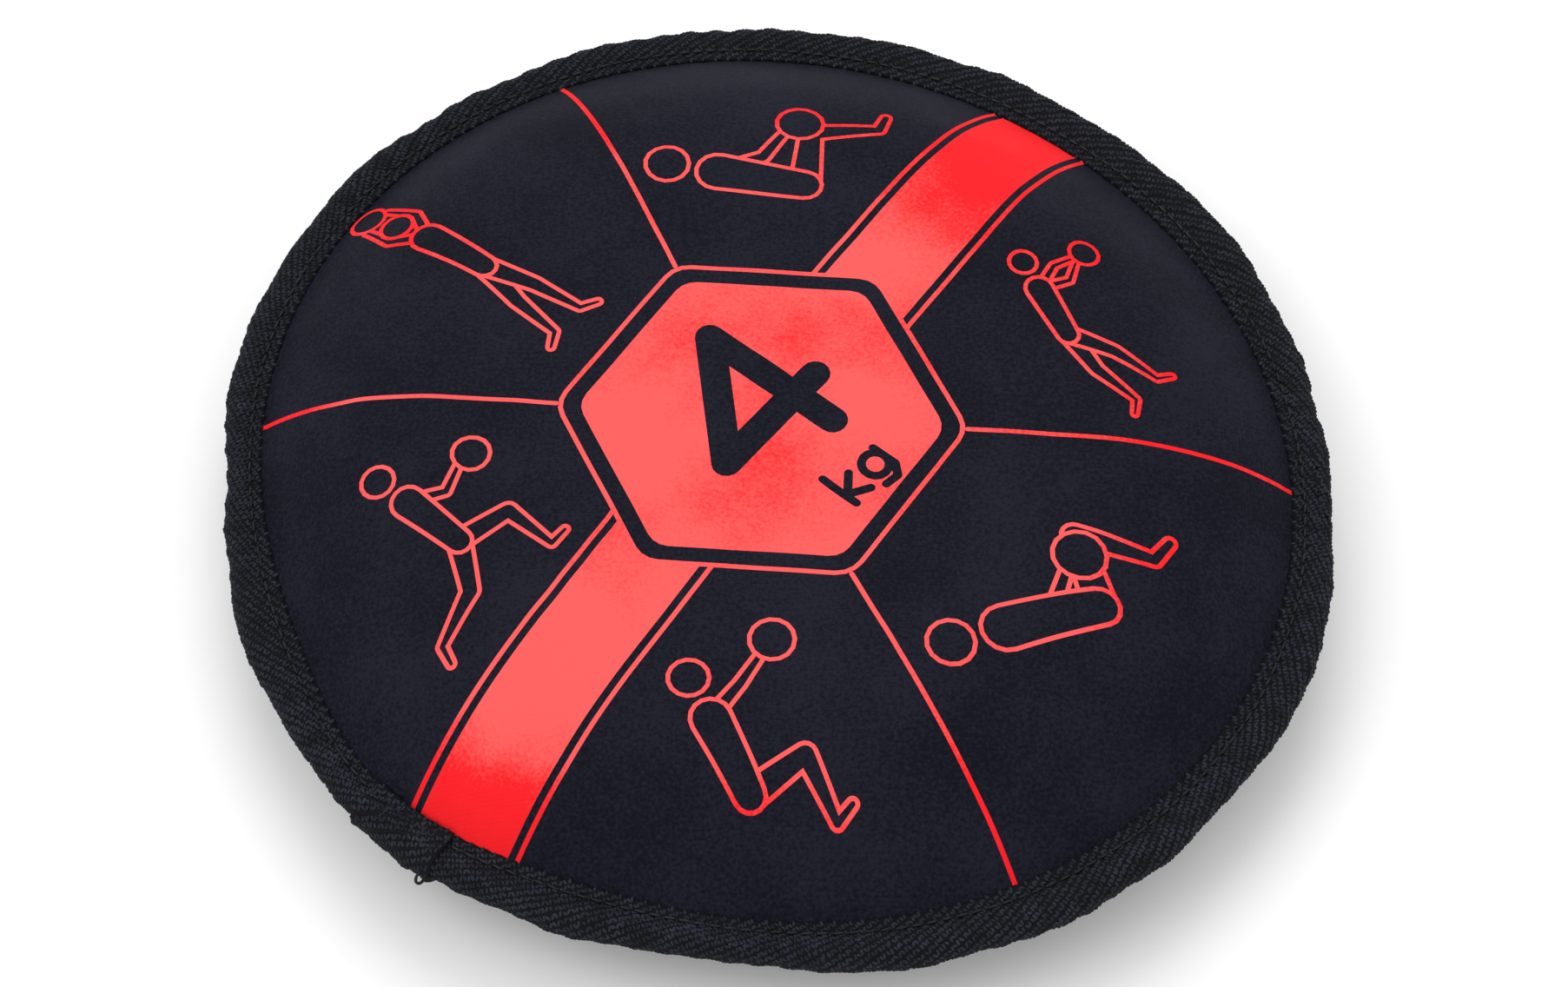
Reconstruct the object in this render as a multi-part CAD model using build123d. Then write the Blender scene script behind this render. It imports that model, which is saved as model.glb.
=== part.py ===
"""Soft medicine ball of the flat, round kind: a neoprene disc filled with iron sand.

Two domed panels of jersey-faced neoprene meet at the rim, where they are stitched together and
bound with a folded twill tape. A sewn inner bag holds the iron sand. Lengths are in millimetres.
The origin is on the floor under the middle of the disc, with +Z up.
"""

from build123d import *
from dataclasses import dataclass
from math import asin, cos, hypot, sin, sqrt
import os

# Driving dimensions of the whole disc
OUTER_RADIUS = 140.0
SEAM_HEIGHT = 24.0
CROWN_HEIGHT = 50.0

# Panel laminate, from the outside in: printed jersey, neoprene sponge, lining jersey
JERSEY_THICKNESS = 0.4
SPONGE_THICKNESS = 2.2
LAMINATE_THICKNESS = 2 * JERSEY_THICKNESS + SPONGE_THICKNESS

# Shape of the two panels: a crown, a round shoulder and a small hollow foot beside the tape
TOP_CROWN_RADIUS = 2200.0
TOP_SHOULDER_START = 80.0
TOP_SHOULDER_RADIUS = 60.0
BOTTOM_REST_RADIUS = 86.0
BOTTOM_SHOULDER_RADIUS = 45.0
PANEL_FOOT_RADIUS = 4.0

# Binding tape: 25 mm wide, folded in half round the rim, with one lap joint
TAPE_THICKNESS = 1.2
TAPE_LEG = 12.0
TAPE_EDGE_ROUND = 2.4
LAP_ANGLE = 229.0
LAP_SWEEP = 10.0

# Inner bag and its sand
BAG_THICKNESS = 0.5
BAG_TOP_GAP = 1.0
BAG_EDGE_RADIUS = 122.5
BAG_TOP_SHOULDER_START = 78.0
BAG_TOP_SHOULDER_RADIUS = 50.0
BAG_BOTTOM_SHOULDER_START = 82.0
BAG_BOTTOM_SHOULDER_RADIUS = 40.0
BAG_FOOT_RADIUS = 2.0
SAND_SEAM_GAP = 4.0

# Threads: radius of the thread, and radius of the ring that its stitches make
PANEL_THREAD = 0.3
PANEL_STITCH_RING = 134.0
BINDING_THREAD = 0.4
BINDING_STITCH_RING = 130.2
BAG_THREAD = 0.25
BAG_STITCH_RING = 120.4
CLOSING_STITCH_RING = 121.6
CLOSING_ANGLE = 75.0
CLOSING_SWEEP = 35.0
TACK_LENGTH = 7.0
TACK_SPACING = 5.0

# Sizes that follow from them
PANEL_EDGE_RADIUS = OUTER_RADIUS - TAPE_THICKNESS
FLANGE_TOP = SEAM_HEIGHT + LAMINATE_THICKNESS
FLANGE_BOTTOM = SEAM_HEIGHT - LAMINATE_THICKNESS
TAPE_TOP = FLANGE_TOP + TAPE_THICKNESS
TAPE_BOTTOM = FLANGE_BOTTOM - TAPE_THICKNESS
TAPE_INNER_RADIUS = OUTER_RADIUS - TAPE_LEG
LAP_START = LAP_ANGLE - LAP_SWEEP / 2


@dataclass(frozen=True)
class DomedPanel:
    """Half of a pillow shape, drawn as a section from the axis out to the rim.

    side is +1 for a panel above the seam and -1 for one below it. The heights are those of the
    panel's outer face, and crown_radius is None where the middle of the panel is flat.
    """

    side: int
    crown_z: float
    flange_z: float
    crown_radius: float | None
    shoulder_start: float
    shoulder_radius: float
    foot_radius: float
    edge_radius: float

    def section(self, depth: float) -> tuple[list[Edge], float]:
        """Edges of the outer face moved inwards by depth, and the radius where the foot ends."""
        rise = self.side * (self.crown_z - self.flange_z)
        lean = asin(self.shoulder_start / self.crown_radius) if self.crown_radius else 0.0
        sag = self.crown_radius * (1 - cos(lean)) if self.crown_radius else 0.0
        shoulder_x = self.shoulder_start - self.shoulder_radius * sin(lean)
        shoulder_y = rise - sag - self.shoulder_radius * cos(lean)
        reach = self.shoulder_radius + self.foot_radius
        foot_y = self.foot_radius
        foot_x = shoulder_x + sqrt(reach**2 - (foot_y - shoulder_y) ** 2)
        turn_x = (foot_x - shoulder_x) / reach
        turn_y = (foot_y - shoulder_y) / reach

        shoulder = self.shoulder_radius - depth
        foot = self.foot_radius + depth
        axis_end = self._point(0, rise - depth)
        shoulder_top = self._point(shoulder_x + shoulder * sin(lean), shoulder_y + shoulder * cos(lean))
        shoulder_end = self._point(shoulder_x + shoulder * turn_x, shoulder_y + shoulder * turn_y)
        foot_end = self._point(foot_x, -depth)
        shoulder_mid = self._middle(shoulder_x, shoulder_y, shoulder, (sin(lean), cos(lean)), (turn_x, turn_y))
        foot_mid = self._middle(foot_x, foot_y, foot, (-turn_x, -turn_y), (0, -1))
        if self.crown_radius:
            half = lean / 2
            crown = self.crown_radius - depth
            crown_mid = self._point(crown * sin(half), rise - self.crown_radius + crown * cos(half))
            crown_edge = ThreePointArc(axis_end, crown_mid, shoulder_top)
        else:
            crown_edge = Line(axis_end, shoulder_top)
        edges = [
            crown_edge,
            ThreePointArc(shoulder_top, shoulder_mid, shoulder_end),
            ThreePointArc(shoulder_end, foot_mid, foot_end),
            Line(foot_end, self._point(self.edge_radius, -depth)),
        ]
        return edges, foot_x

    def layer(self, outer_depth: float, inner_depth: float) -> Part:
        """One layer of the laminate, between two depths below the outer face."""
        outer, _ = self.section(outer_depth)
        inner, _ = self.section(inner_depth)
        axis_side = Line(outer[0] @ 0, inner[0] @ 0)
        rim_side = Line(outer[-1] @ 1, inner[-1] @ 1)
        return revolve(make_face([*outer, rim_side, *inner, axis_side]), Axis.Z)

    def _point(self, radius: float, height: float) -> Vector:
        """A point of the section, from its radius and its height outwards from the flange."""
        return Vector(radius, 0, self.flange_z + self.side * height)

    def _middle(self, x: float, y: float, radius: float, start: tuple, end: tuple) -> Vector:
        """The middle of an arc about (x, y), between two unit directions."""
        way_x = start[0] + end[0]
        way_y = start[1] + end[1]
        length = hypot(way_x, way_y)
        return self._point(x + radius * way_x / length, y + radius * way_y / length)


TOP_PANEL = DomedPanel(
    side=1,
    crown_z=CROWN_HEIGHT,
    flange_z=FLANGE_TOP,
    crown_radius=TOP_CROWN_RADIUS,
    shoulder_start=TOP_SHOULDER_START,
    shoulder_radius=TOP_SHOULDER_RADIUS,
    foot_radius=PANEL_FOOT_RADIUS,
    edge_radius=PANEL_EDGE_RADIUS,
)
BOTTOM_PANEL = DomedPanel(
    side=-1,
    crown_z=0.0,
    flange_z=FLANGE_BOTTOM,
    crown_radius=None,
    shoulder_start=BOTTOM_REST_RADIUS,
    shoulder_radius=BOTTOM_SHOULDER_RADIUS,
    foot_radius=PANEL_FOOT_RADIUS,
    edge_radius=PANEL_EDGE_RADIUS,
)
BAG_TOP = DomedPanel(
    side=1,
    crown_z=CROWN_HEIGHT - LAMINATE_THICKNESS - BAG_TOP_GAP,
    flange_z=SEAM_HEIGHT + BAG_THICKNESS,
    crown_radius=TOP_CROWN_RADIUS,
    shoulder_start=BAG_TOP_SHOULDER_START,
    shoulder_radius=BAG_TOP_SHOULDER_RADIUS,
    foot_radius=BAG_FOOT_RADIUS,
    edge_radius=BAG_EDGE_RADIUS,
)
BAG_BOTTOM = DomedPanel(
    side=-1,
    crown_z=LAMINATE_THICKNESS,
    flange_z=SEAM_HEIGHT - BAG_THICKNESS,
    crown_radius=None,
    shoulder_start=BAG_BOTTOM_SHOULDER_START,
    shoulder_radius=BAG_BOTTOM_SHOULDER_RADIUS,
    foot_radius=BAG_FOOT_RADIUS,
    edge_radius=BAG_EDGE_RADIUS,
)


def ring(ring_radius: float, height: float, thread: float, start: float = 0.0, sweep: float = 360.0) -> Part:
    """A thread laid round the disc at one height, all the way or for part of a turn."""
    section = Plane.XZ * Pos(ring_radius, height) * Circle(thread)
    return Rot(0, 0, start) * revolve(section, Axis.Z, sweep)


def tape_section(thickness_out: float, thickness_in: float) -> Sketch:
    """The folded tape's U section, from its outer face to its inner face.

    Both faces are given by how far they stand outside the panels' edges.
    """

    def outline(offset: float, round_radius: float) -> Sketch:
        """A block round the panels' edges, with its two outer corners rounded."""
        width = TAPE_LEG + offset - TAPE_THICKNESS
        height = 2 * (LAMINATE_THICKNESS + offset)
        block = Pos(TAPE_INNER_RADIUS + width / 2, SEAM_HEIGHT) * Rectangle(width, height)
        if round_radius:
            block = fillet(block.vertices().group_by(Axis.X)[-1], round_radius)
        return block

    outer_round = TAPE_EDGE_ROUND + thickness_out - TAPE_THICKNESS
    inner_round = TAPE_EDGE_ROUND + thickness_in - TAPE_THICKNESS if thickness_in else 0.0
    return Plane.XZ * (outline(thickness_out, outer_round) - outline(thickness_in, inner_round))


def panel_seam_threads() -> dict[str, Part]:
    """Needle and bobbin threads of the seam that joins the two panels under the tape."""
    return {
        "panel_seam_needle_thread": ring(PANEL_STITCH_RING, FLANGE_TOP, PANEL_THREAD),
        "panel_seam_bobbin_thread": ring(PANEL_STITCH_RING, FLANGE_BOTTOM, PANEL_THREAD),
    }


def binding_threads() -> dict[str, Part]:
    """Needle and bobbin threads that hold the tape, stepping up over the lap joint."""
    rows = {}
    for name, side, face in (("needle", 1, TAPE_TOP), ("bobbin", -1, TAPE_BOTTOM)):
        on_tape = ring(BINDING_STITCH_RING, face, BINDING_THREAD, LAP_START + LAP_SWEEP, 360 - LAP_SWEEP)
        lap_face = face + side * TAPE_THICKNESS
        on_lap = ring(BINDING_STITCH_RING, lap_face, BINDING_THREAD, LAP_START, LAP_SWEEP)
        rows[f"binding_{name}_thread"] = on_tape + on_lap
    return rows


def lap_tack_thread() -> Part:
    """Two short bars of stitches across the tape, one at each end of the lap joint."""
    bars = []
    for end in (-1, 1):
        bar = Cylinder(BINDING_THREAD, TACK_LENGTH, rotation=(0, 90, 0))
        middle = BINDING_STITCH_RING + 2 * BINDING_THREAD + TACK_LENGTH / 2
        lap_top = TAPE_TOP + TAPE_THICKNESS
        bars.append(Rot(0, 0, LAP_ANGLE) * Pos(middle, end * TACK_SPACING, lap_top) * bar)
    return Part(children=bars)


def binding_tape(threads: list[Part]) -> Part:
    """The folded tape with its lap joint, pressed in under every thread that touches it."""
    loop = revolve(tape_section(TAPE_THICKNESS, 0.0), Axis.Z)
    lap = revolve(tape_section(2 * TAPE_THICKNESS, TAPE_THICKNESS), Axis.Z, LAP_SWEEP)
    tape = loop + Rot(0, 0, LAP_START) * lap
    for thread in threads:
        tape -= thread
    return tape


def bag_threads() -> dict[str, Part]:
    """Threads of the bag's seam, and the row that closes its filling mouth."""
    face_top = BAG_TOP.flange_z
    return {
        "bag_seam_needle_thread": ring(BAG_STITCH_RING, face_top, BAG_THREAD),
        "bag_seam_bobbin_thread": ring(BAG_STITCH_RING, BAG_BOTTOM.flange_z, BAG_THREAD),
        "bag_closing_thread": ring(CLOSING_STITCH_RING, face_top, BAG_THREAD, CLOSING_ANGLE, CLOSING_SWEEP),
    }


def iron_sand() -> Part:
    """The sand that fills the bag, short of the narrow wedge beside the bag's seam."""
    top, foot_top = BAG_TOP.section(BAG_THICKNESS)
    bottom, foot_bottom = BAG_BOTTOM.section(BAG_THICKNESS)
    top_face = top[:-1]
    bottom_face = bottom[:-1]
    axis_side = Line(top_face[0] @ 0, bottom_face[0] @ 0)
    seam_side = Line(top_face[-1] @ 1, bottom_face[-1] @ 1)
    sand_radius = min(foot_top, foot_bottom) - SAND_SEAM_GAP
    inside = make_face([*top_face, seam_side, *bottom_face, axis_side])
    return revolve(inside, Axis.Z) & Pos(0, 0, SEAM_HEIGHT) * Cylinder(sand_radius, CROWN_HEIGHT)


def build_disc() -> dict[str, Part]:
    """Every piece of the disc, by name."""
    seam = panel_seam_threads()
    binding = binding_threads()
    tack = lap_tack_thread()
    bag_rows = bag_threads()
    sponge_face = JERSEY_THICKNESS
    lining_face = JERSEY_THICKNESS + SPONGE_THICKNESS
    pieces = {
        "top_face_jersey": TOP_PANEL.layer(0, sponge_face) - seam["panel_seam_needle_thread"],
        "top_neoprene_sponge": TOP_PANEL.layer(sponge_face, lining_face),
        "top_lining_jersey": TOP_PANEL.layer(lining_face, LAMINATE_THICKNESS),
        "bottom_face_jersey": BOTTOM_PANEL.layer(0, sponge_face) - seam["panel_seam_bobbin_thread"],
        "bottom_neoprene_sponge": BOTTOM_PANEL.layer(sponge_face, lining_face),
        "bottom_lining_jersey": BOTTOM_PANEL.layer(lining_face, LAMINATE_THICKNESS),
        "binding_tape": binding_tape([*seam.values(), *binding.values(), tack]),
        "lap_tack_thread": tack,
        "inner_bag_top": BAG_TOP.layer(0, BAG_THICKNESS),
        "inner_bag_bottom": BAG_BOTTOM.layer(0, BAG_THICKNESS),
        "iron_sand": iron_sand(),
    }
    pieces["inner_bag_top"] -= bag_rows["bag_seam_needle_thread"]
    pieces["inner_bag_top"] -= bag_rows["bag_closing_thread"]
    pieces["inner_bag_bottom"] -= bag_rows["bag_seam_bobbin_thread"]
    return {**pieces, **seam, **binding, **bag_rows}


if __name__ == "__main__":
    os.makedirs("parts", exist_ok=True)
    for name, piece in build_disc().items():
        piece.label = name
        export_step(piece, f"parts/{name}.step")
        print(f"{name}: {piece.volume / 1000:.2f} cm3")
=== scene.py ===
"""Looks of a soft medicine disc: a printed neoprene cover, a twill-bound rim and a bag of iron sand.

Names that end in _mm are in millimetres and other lengths in metres. +Z is up and the disc lies on
the floor.
"""

import logging
import math
from collections.abc import Callable, Iterable
from dataclasses import dataclass, field
from enum import Enum

import bpy
import numpy as np
from mathutils import Matrix, Vector
from mathutils.geometry import delaunay_2d_cdt


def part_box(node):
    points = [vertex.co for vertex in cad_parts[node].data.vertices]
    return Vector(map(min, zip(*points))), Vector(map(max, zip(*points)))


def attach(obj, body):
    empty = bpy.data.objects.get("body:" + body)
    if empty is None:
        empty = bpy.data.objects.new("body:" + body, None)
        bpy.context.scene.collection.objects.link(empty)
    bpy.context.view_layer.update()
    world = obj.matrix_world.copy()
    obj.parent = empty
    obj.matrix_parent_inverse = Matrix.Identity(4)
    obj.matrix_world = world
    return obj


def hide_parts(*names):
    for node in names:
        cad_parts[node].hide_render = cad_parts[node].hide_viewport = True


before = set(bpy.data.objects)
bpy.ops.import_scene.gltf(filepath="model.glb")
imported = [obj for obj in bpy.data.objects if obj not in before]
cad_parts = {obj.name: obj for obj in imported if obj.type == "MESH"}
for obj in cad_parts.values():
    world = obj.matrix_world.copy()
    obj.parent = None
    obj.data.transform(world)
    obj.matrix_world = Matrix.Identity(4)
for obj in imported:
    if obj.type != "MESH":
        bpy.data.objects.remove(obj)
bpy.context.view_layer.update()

MM = 0.001
BODY = "root"
LOG = logging.getLogger("disc")

Array = np.ndarray
Place = tuple[float, float]
Joint = tuple[float, float, float]


# ------------------------------------------------------------------ helpers


def linear(hex_colour: str) -> tuple[float, float, float, float]:
    """Turn an sRGB hex colour into linear RGBA.

    Args:
        hex_colour: six hex digits after a #.

    Returns:
        Red, green, blue and alpha, linear.
    """
    parts = [int(hex_colour[i : i + 2], 16) / 255 for i in (1, 3, 5)]
    return (*(c / 12.92 if c <= 0.04045 else ((c + 0.055) / 1.055) ** 2.4 for c in parts), 1.0)


def socket_of(sockets: Iterable[bpy.types.NodeSocket], key: str) -> bpy.types.NodeSocket:
    """Find a socket by its identifier or, failing that, the enabled one of that name."""
    found = [s for s in sockets if s.identifier == key]
    return found[0] if found else next(s for s in sockets if s.name == key and s.enabled)


def add_node(
    tree: bpy.types.NodeTree, kind: str, inputs: dict | None = None, **settings: object
) -> bpy.types.Node:
    """Add a node to a tree, with its settings, values and links.

    Args:
        tree: the shader or geometry tree.
        kind: the node's type.
        inputs: values, or sockets to link from, by the identifier of the input.
        settings: properties of the node itself.

    Returns:
        The new node.
    """
    node = tree.nodes.new(kind)
    for name, value in settings.items():
        setattr(node, name, value)
    for key, value in (inputs or {}).items():
        target = socket_of(node.inputs, key)
        if isinstance(value, bpy.types.NodeSocket):
            tree.links.new(value, target)
        else:
            target.default_value = value
    return node


def rise(value: Array, low: float, high: float) -> Array:
    """Go smoothly from 0 at low to 1 at high."""
    share = np.clip((value - low) / (high - low), 0.0, 1.0)
    return share * share * (3 - 2 * share)


def bell(angle: Array, middle_deg: float, width_deg: float) -> Array:
    """A bump of height 1 at one place round the disc, given in degrees."""
    away = (np.degrees(angle) - middle_deg + 180) % 360 - 180
    return np.exp(-((away / width_deg) ** 2))


def round_points(radius: Array, angle: Array, height: Array) -> Array:
    """Points at radii, angles and heights, as rows of x, y, z."""
    return np.stack([radius * np.cos(angle), radius * np.sin(angle), height], axis=-1)


def link(piece: bpy.types.Object) -> bpy.types.Object:
    """Put an object in the scene."""
    bpy.context.scene.collection.objects.link(piece)
    return piece


def mesh_piece(
    name: str, verts_mm: Array, faces: list, materials: list[bpy.types.Material]
) -> bpy.types.Object:
    """Make a smooth mesh piece at the origin.

    Args:
        name: the piece's name.
        verts_mm: a row of x, y, z for each vertex.
        faces: the vertex numbers of each face.
        materials: the piece's materials.

    Returns:
        The new piece.
    """
    mesh = bpy.data.meshes.new(name)
    mesh.from_pydata((verts_mm * MM).tolist(), [], faces)
    mesh.update()
    mesh.shade_smooth()
    for material in materials:
        mesh.materials.append(material)
    return link(bpy.data.objects.new(name, mesh))


def declare(piece: bpy.types.Object, slot: str, *nodes: str) -> bpy.types.Object:
    """Let a piece ride on the disc and hide the CAD nodes that it stands for.

    Args:
        piece: the piece.
        slot: the name of its material slot; not used.
        nodes: the CAD nodes that it stands for.

    Returns:
        The piece.
    """
    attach(piece, BODY)
    if nodes:
        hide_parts(*nodes)
    LOG.info("%s: %d faces", piece.name, len(piece.data.polygons))
    return piece


# ------------------------------------------------------------------ finishes


class Relief(Enum):
    """What the surface of a finish is made of."""

    KNIT = "loops in upright rows"
    WEAVE = "yarns over and under"
    YARN = "twisted fibres"
    GRAIN = "loose grains"
    CELLS = "foam cells"


# How finely the noise and the wave textures are worked, and how far their loops stray
BLOTCH_DETAIL = 3.0
SPECK_DETAIL = 2.0
LOOP_DETAIL = 3.0
LOOP_STRAY = 1.2
# A wave texture has 20 / (2 pi) bands for each unit of its scale
WAVE_BANDS = 20


@dataclass(frozen=True)
class Finish:
    """A dry, soft finish with two shades and a fine relief.

    grain_mm is the spacing of the relief. The real loops, weaves, fibres and cells are mostly too
    fine to show, so they are drawn coarser than they are. The colour can also turn paler above a
    height and deeper below it, measured along a slanting up: a painted highlight for the lights' sheen.
    """

    name: str
    relief: Relief
    shade: str
    light_shade: str
    grain_mm: float
    depth_mm: float
    roughness: float = 0.75
    specular: float = 0.2
    metallic: float = 0.0
    blotch_mm: float = 30.0
    speckle: float = 0.4
    # Painted highlight: the colour pales above this height, measured along the slanting up below, and deepens
    # under it, standing in for the lights' sheen on the top
    painted_sheen_above_mm: float | None = None
    painted_sheen_fade_mm: float = 11.0
    painted_sheen_range: tuple[float, float] = (-0.12, 0.13)
    shade_range: tuple[float, float] = (0.35, 0.65)
    painted_sheen_up: tuple[float, float, float] = (-0.03, -0.03, 1.0)

    def build(self) -> bpy.types.Material:
        """Make the material, which reads Object coordinates.

        Returns:
            The material.
        """
        material = bpy.data.materials.new(self.name)
        material.use_nodes = True
        tree = material.node_tree
        shader = tree.nodes["Principled BSDF"]
        place = add_node(tree, "ShaderNodeTexCoord").outputs["Object"]
        shader.inputs["Roughness"].default_value = self.roughness
        shader.inputs["Specular IOR Level"].default_value = self.specular
        shader.inputs["Metallic"].default_value = self.metallic
        tree.links.new(self._colour(tree, place), shader.inputs["Base Color"])
        bump_inputs = {"Strength": 1.0, "Distance": self.depth_mm * MM, "Height": self._height(tree, place)}
        bump = add_node(tree, "ShaderNodeBump", bump_inputs)
        tree.links.new(bump.outputs["Normal"], shader.inputs["Normal"])
        return material

    def _colour(self, tree: bpy.types.NodeTree, place: bpy.types.NodeSocket) -> bpy.types.NodeSocket:
        """Mix the two shades in soft blotches and fine specks.

        Args:
            tree: the material's tree.
            place: the Object coordinates.

        Returns:
            The colour.
        """
        blotch_inputs = {"Vector": place, "Scale": 1000 / self.blotch_mm, "Detail": BLOTCH_DETAIL}
        blotch = add_node(tree, "ShaderNodeTexNoise", blotch_inputs)
        speck_inputs = {"Vector": place, "Scale": 1000 / self.grain_mm, "Detail": SPECK_DETAIL}
        speck = add_node(tree, "ShaderNodeTexNoise", speck_inputs)
        parts = {"Factor_Float": self.speckle, "A_Float": blotch.outputs[0], "B_Float": speck.outputs[0]}
        mixed = socket_of(add_node(tree, "ShaderNodeMix", parts).outputs, "Result_Float")
        # Painted highlight: paler towards the top and the -X -Y side, deeper lower down, for the lights'
        # sheen on the crown
        if self.painted_sheen_above_mm is not None:
            lean_inputs = {"Vector": place, "Vector_001": self.painted_sheen_up}
            lean = add_node(tree, "ShaderNodeVectorMath", lean_inputs, operation="DOT_PRODUCT")
            low = self.painted_sheen_above_mm * MM
            painted_sheen_inputs = {
                "Value": lean.outputs["Value"],
                "From Min": low,
                "From Max": low + self.painted_sheen_fade_mm * MM,
                "To Min": self.painted_sheen_range[0],
                "To Max": self.painted_sheen_range[1],
            }
            painted_sheen = add_node(tree, "ShaderNodeMapRange", painted_sheen_inputs, interpolation_type="SMOOTHSTEP")
            added = {"Value": mixed, "Value_001": painted_sheen.outputs["Result"]}
            mixed = add_node(tree, "ShaderNodeMath", added, operation="ADD").outputs[0]
        spread_inputs = {"Value": mixed, "From Min": self.shade_range[0], "From Max": self.shade_range[1]}
        spread = add_node(tree, "ShaderNodeMapRange", spread_inputs, interpolation_type="SMOOTHSTEP")
        shades = {"A_Color": linear(self.shade), "B_Color": linear(self.light_shade)}
        shades["Factor_Float"] = spread.outputs["Result"]
        colour = add_node(tree, "ShaderNodeMix", shades, data_type="RGBA")
        return socket_of(colour.outputs, "Result_Color")

    def _height(self, tree: bpy.types.NodeTree, place: bpy.types.NodeSocket) -> bpy.types.NodeSocket:
        """The relief's height, from 0 to 1.

        Args:
            tree: the material's tree.
            place: the Object coordinates.

        Returns:
            The height.
        """
        scale = 1000 / self.grain_mm
        if self.relief is Relief.CELLS or self.relief is Relief.GRAIN:
            cells = add_node(tree, "ShaderNodeTexVoronoi", {"Vector": place, "Scale": scale})
            return cells.outputs["Distance"]
        if self.relief is Relief.YARN:
            return add_node(tree, "ShaderNodeTexNoise", {"Vector": place, "Scale": scale}).outputs[0]
        wave = {"Vector": place, "Scale": scale * math.tau / WAVE_BANDS}
        wave |= {"Distortion": LOOP_STRAY, "Detail Scale": LOOP_DETAIL}
        rows = []
        for direction in ("X", "Y"):
            rows.append(add_node(tree, "ShaderNodeTexWave", wave, bands_direction=direction).outputs["Fac"])
        join = "MULTIPLY" if self.relief is Relief.KNIT else "MAXIMUM"
        crossed = add_node(tree, "ShaderNodeMath", {"Value": rows[0], "Value_001": rows[1]}, operation=join)
        return crossed.outputs[0]


# Nylon warp knit, piece-dyed black: a smooth, faintly blue black, flecked by its loops. The loops are
# drawn 0.9 mm apart, coarser than the real ones, so that they show
BLACK_JERSEY = Finish(
    "nylon_jersey_dyed_black",
    Relief.KNIT,
    "#11111B",
    "#1F1F2B",
    0.9,
    0.05,
    roughness=0.6,
    specular=0.04,
    speckle=0.6,
)
# The same knit, dye-printed red: the ink has soaked in unevenly. The red also pales towards the top and
# # deepens on the flanks, a painted highlight that stands in for the lights' sheen on the crown
RED_JERSEY = Finish(
    "nylon_jersey_dye_printed_red",
    Relief.KNIT,
    "#F22026",
    "#FF5C5A",
    0.9,
    0.04,
    roughness=0.6,
    specular=0.05,
    blotch_mm=38.0,
    speckle=0.3,
    painted_sheen_above_mm=40.0,
)
# Spun polyester twill tape, dyed black: dull yarns over a ground that shows between them. The ground is
# # drawn much darker than the yarns: painted shade in the gaps between them
TWILL_GROUND = Finish(
    "polyester_twill_ground_black", Relief.YARN, "#050508", "#0B0B0F", 0.5, 0.12, roughness=0.9
)
TWILL_YARN = Finish(
    "polyester_twill_yarn_black",
    Relief.YARN,
    "#15171E",
    "#2B2F3A",
    0.3,
    0.04,
    specular=0.15,
    blotch_mm=4.0,
)
# Twisted polyester sewing thread, black: a little smoother than the tape round it
BLACK_THREAD = Finish(
    "polyester_sewing_thread_black", Relief.YARN, "#0D0D10", "#202126", 0.4, 0.05, roughness=0.5
)
# Closed-cell neoprene sponge, sliced: dull black with tiny cells
SPONGE = Finish("neoprene_sponge_sliced", Relief.CELLS, "#16171A", "#232428", 1.0, 0.15, roughness=0.9)
# Polyester jersey lining, dark grey: the same knit with a duller face
LINING = Finish("polyester_lining_jersey_grey", Relief.KNIT, "#2B2D31", "#3B3E43", 1.0, 0.08, roughness=0.8)
# Plain-woven polyester bag cloth, undyed: off-white with a fine square weave
BAG_CLOTH = Finish(
    "polyester_plain_weave_undyed", Relief.WEAVE, "#C9C4B8", "#DAD6CC", 1.0, 0.1, roughness=0.85
)
# The same yarn twisted into thread: a little whiter than the cloth
BAG_THREAD = Finish(
    "polyester_sewing_thread_undyed", Relief.YARN, "#CFCBBF", "#E4E1D8", 0.4, 0.05, roughness=0.6
)
# Magnetite sand: dark grains with a metallic glint
IRON_SAND = Finish(
    "iron_sand_washed", Relief.GRAIN, "#26272A", "#55575C", 1.0, 0.6, roughness=0.5, metallic=0.6, speckle=0.8
)


class Finishes:
    """Every material of the disc, made once."""

    def __init__(self) -> None:
        """Build the materials."""
        self.black_jersey = BLACK_JERSEY.build()
        self.red_jersey = RED_JERSEY.build()
        self.twill_ground = TWILL_GROUND.build()
        self.twill_yarn = TWILL_YARN.build()
        self.black_thread = BLACK_THREAD.build()
        self.sponge = SPONGE.build()
        self.lining = LINING.build()
        self.bag_cloth = BAG_CLOTH.build()
        self.bag_thread = BAG_THREAD.build()
        self.iron_sand = IRON_SAND.build()


# ------------------------------------------------------------------ shape


def catmull(p0: Array, p1: Array, p2: Array, p3: Array, t: Array) -> Array:
    """Catmull-Rom value between p1 and p2.

    Args:
        p0: value before the stretch.
        p1: value at its start.
        p2: value at its end.
        p3: value after it.
        t: share of the way along it.

    Returns:
        The value there.
    """
    slope = p2 - p0
    bend = 2 * p0 - 5 * p1 + 4 * p2 - p3
    twist = 3 * (p1 - p2) + p3 - p0
    return 0.5 * (2 * p1 + slope * t + bend * t**2 + twist * t**3)


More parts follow.
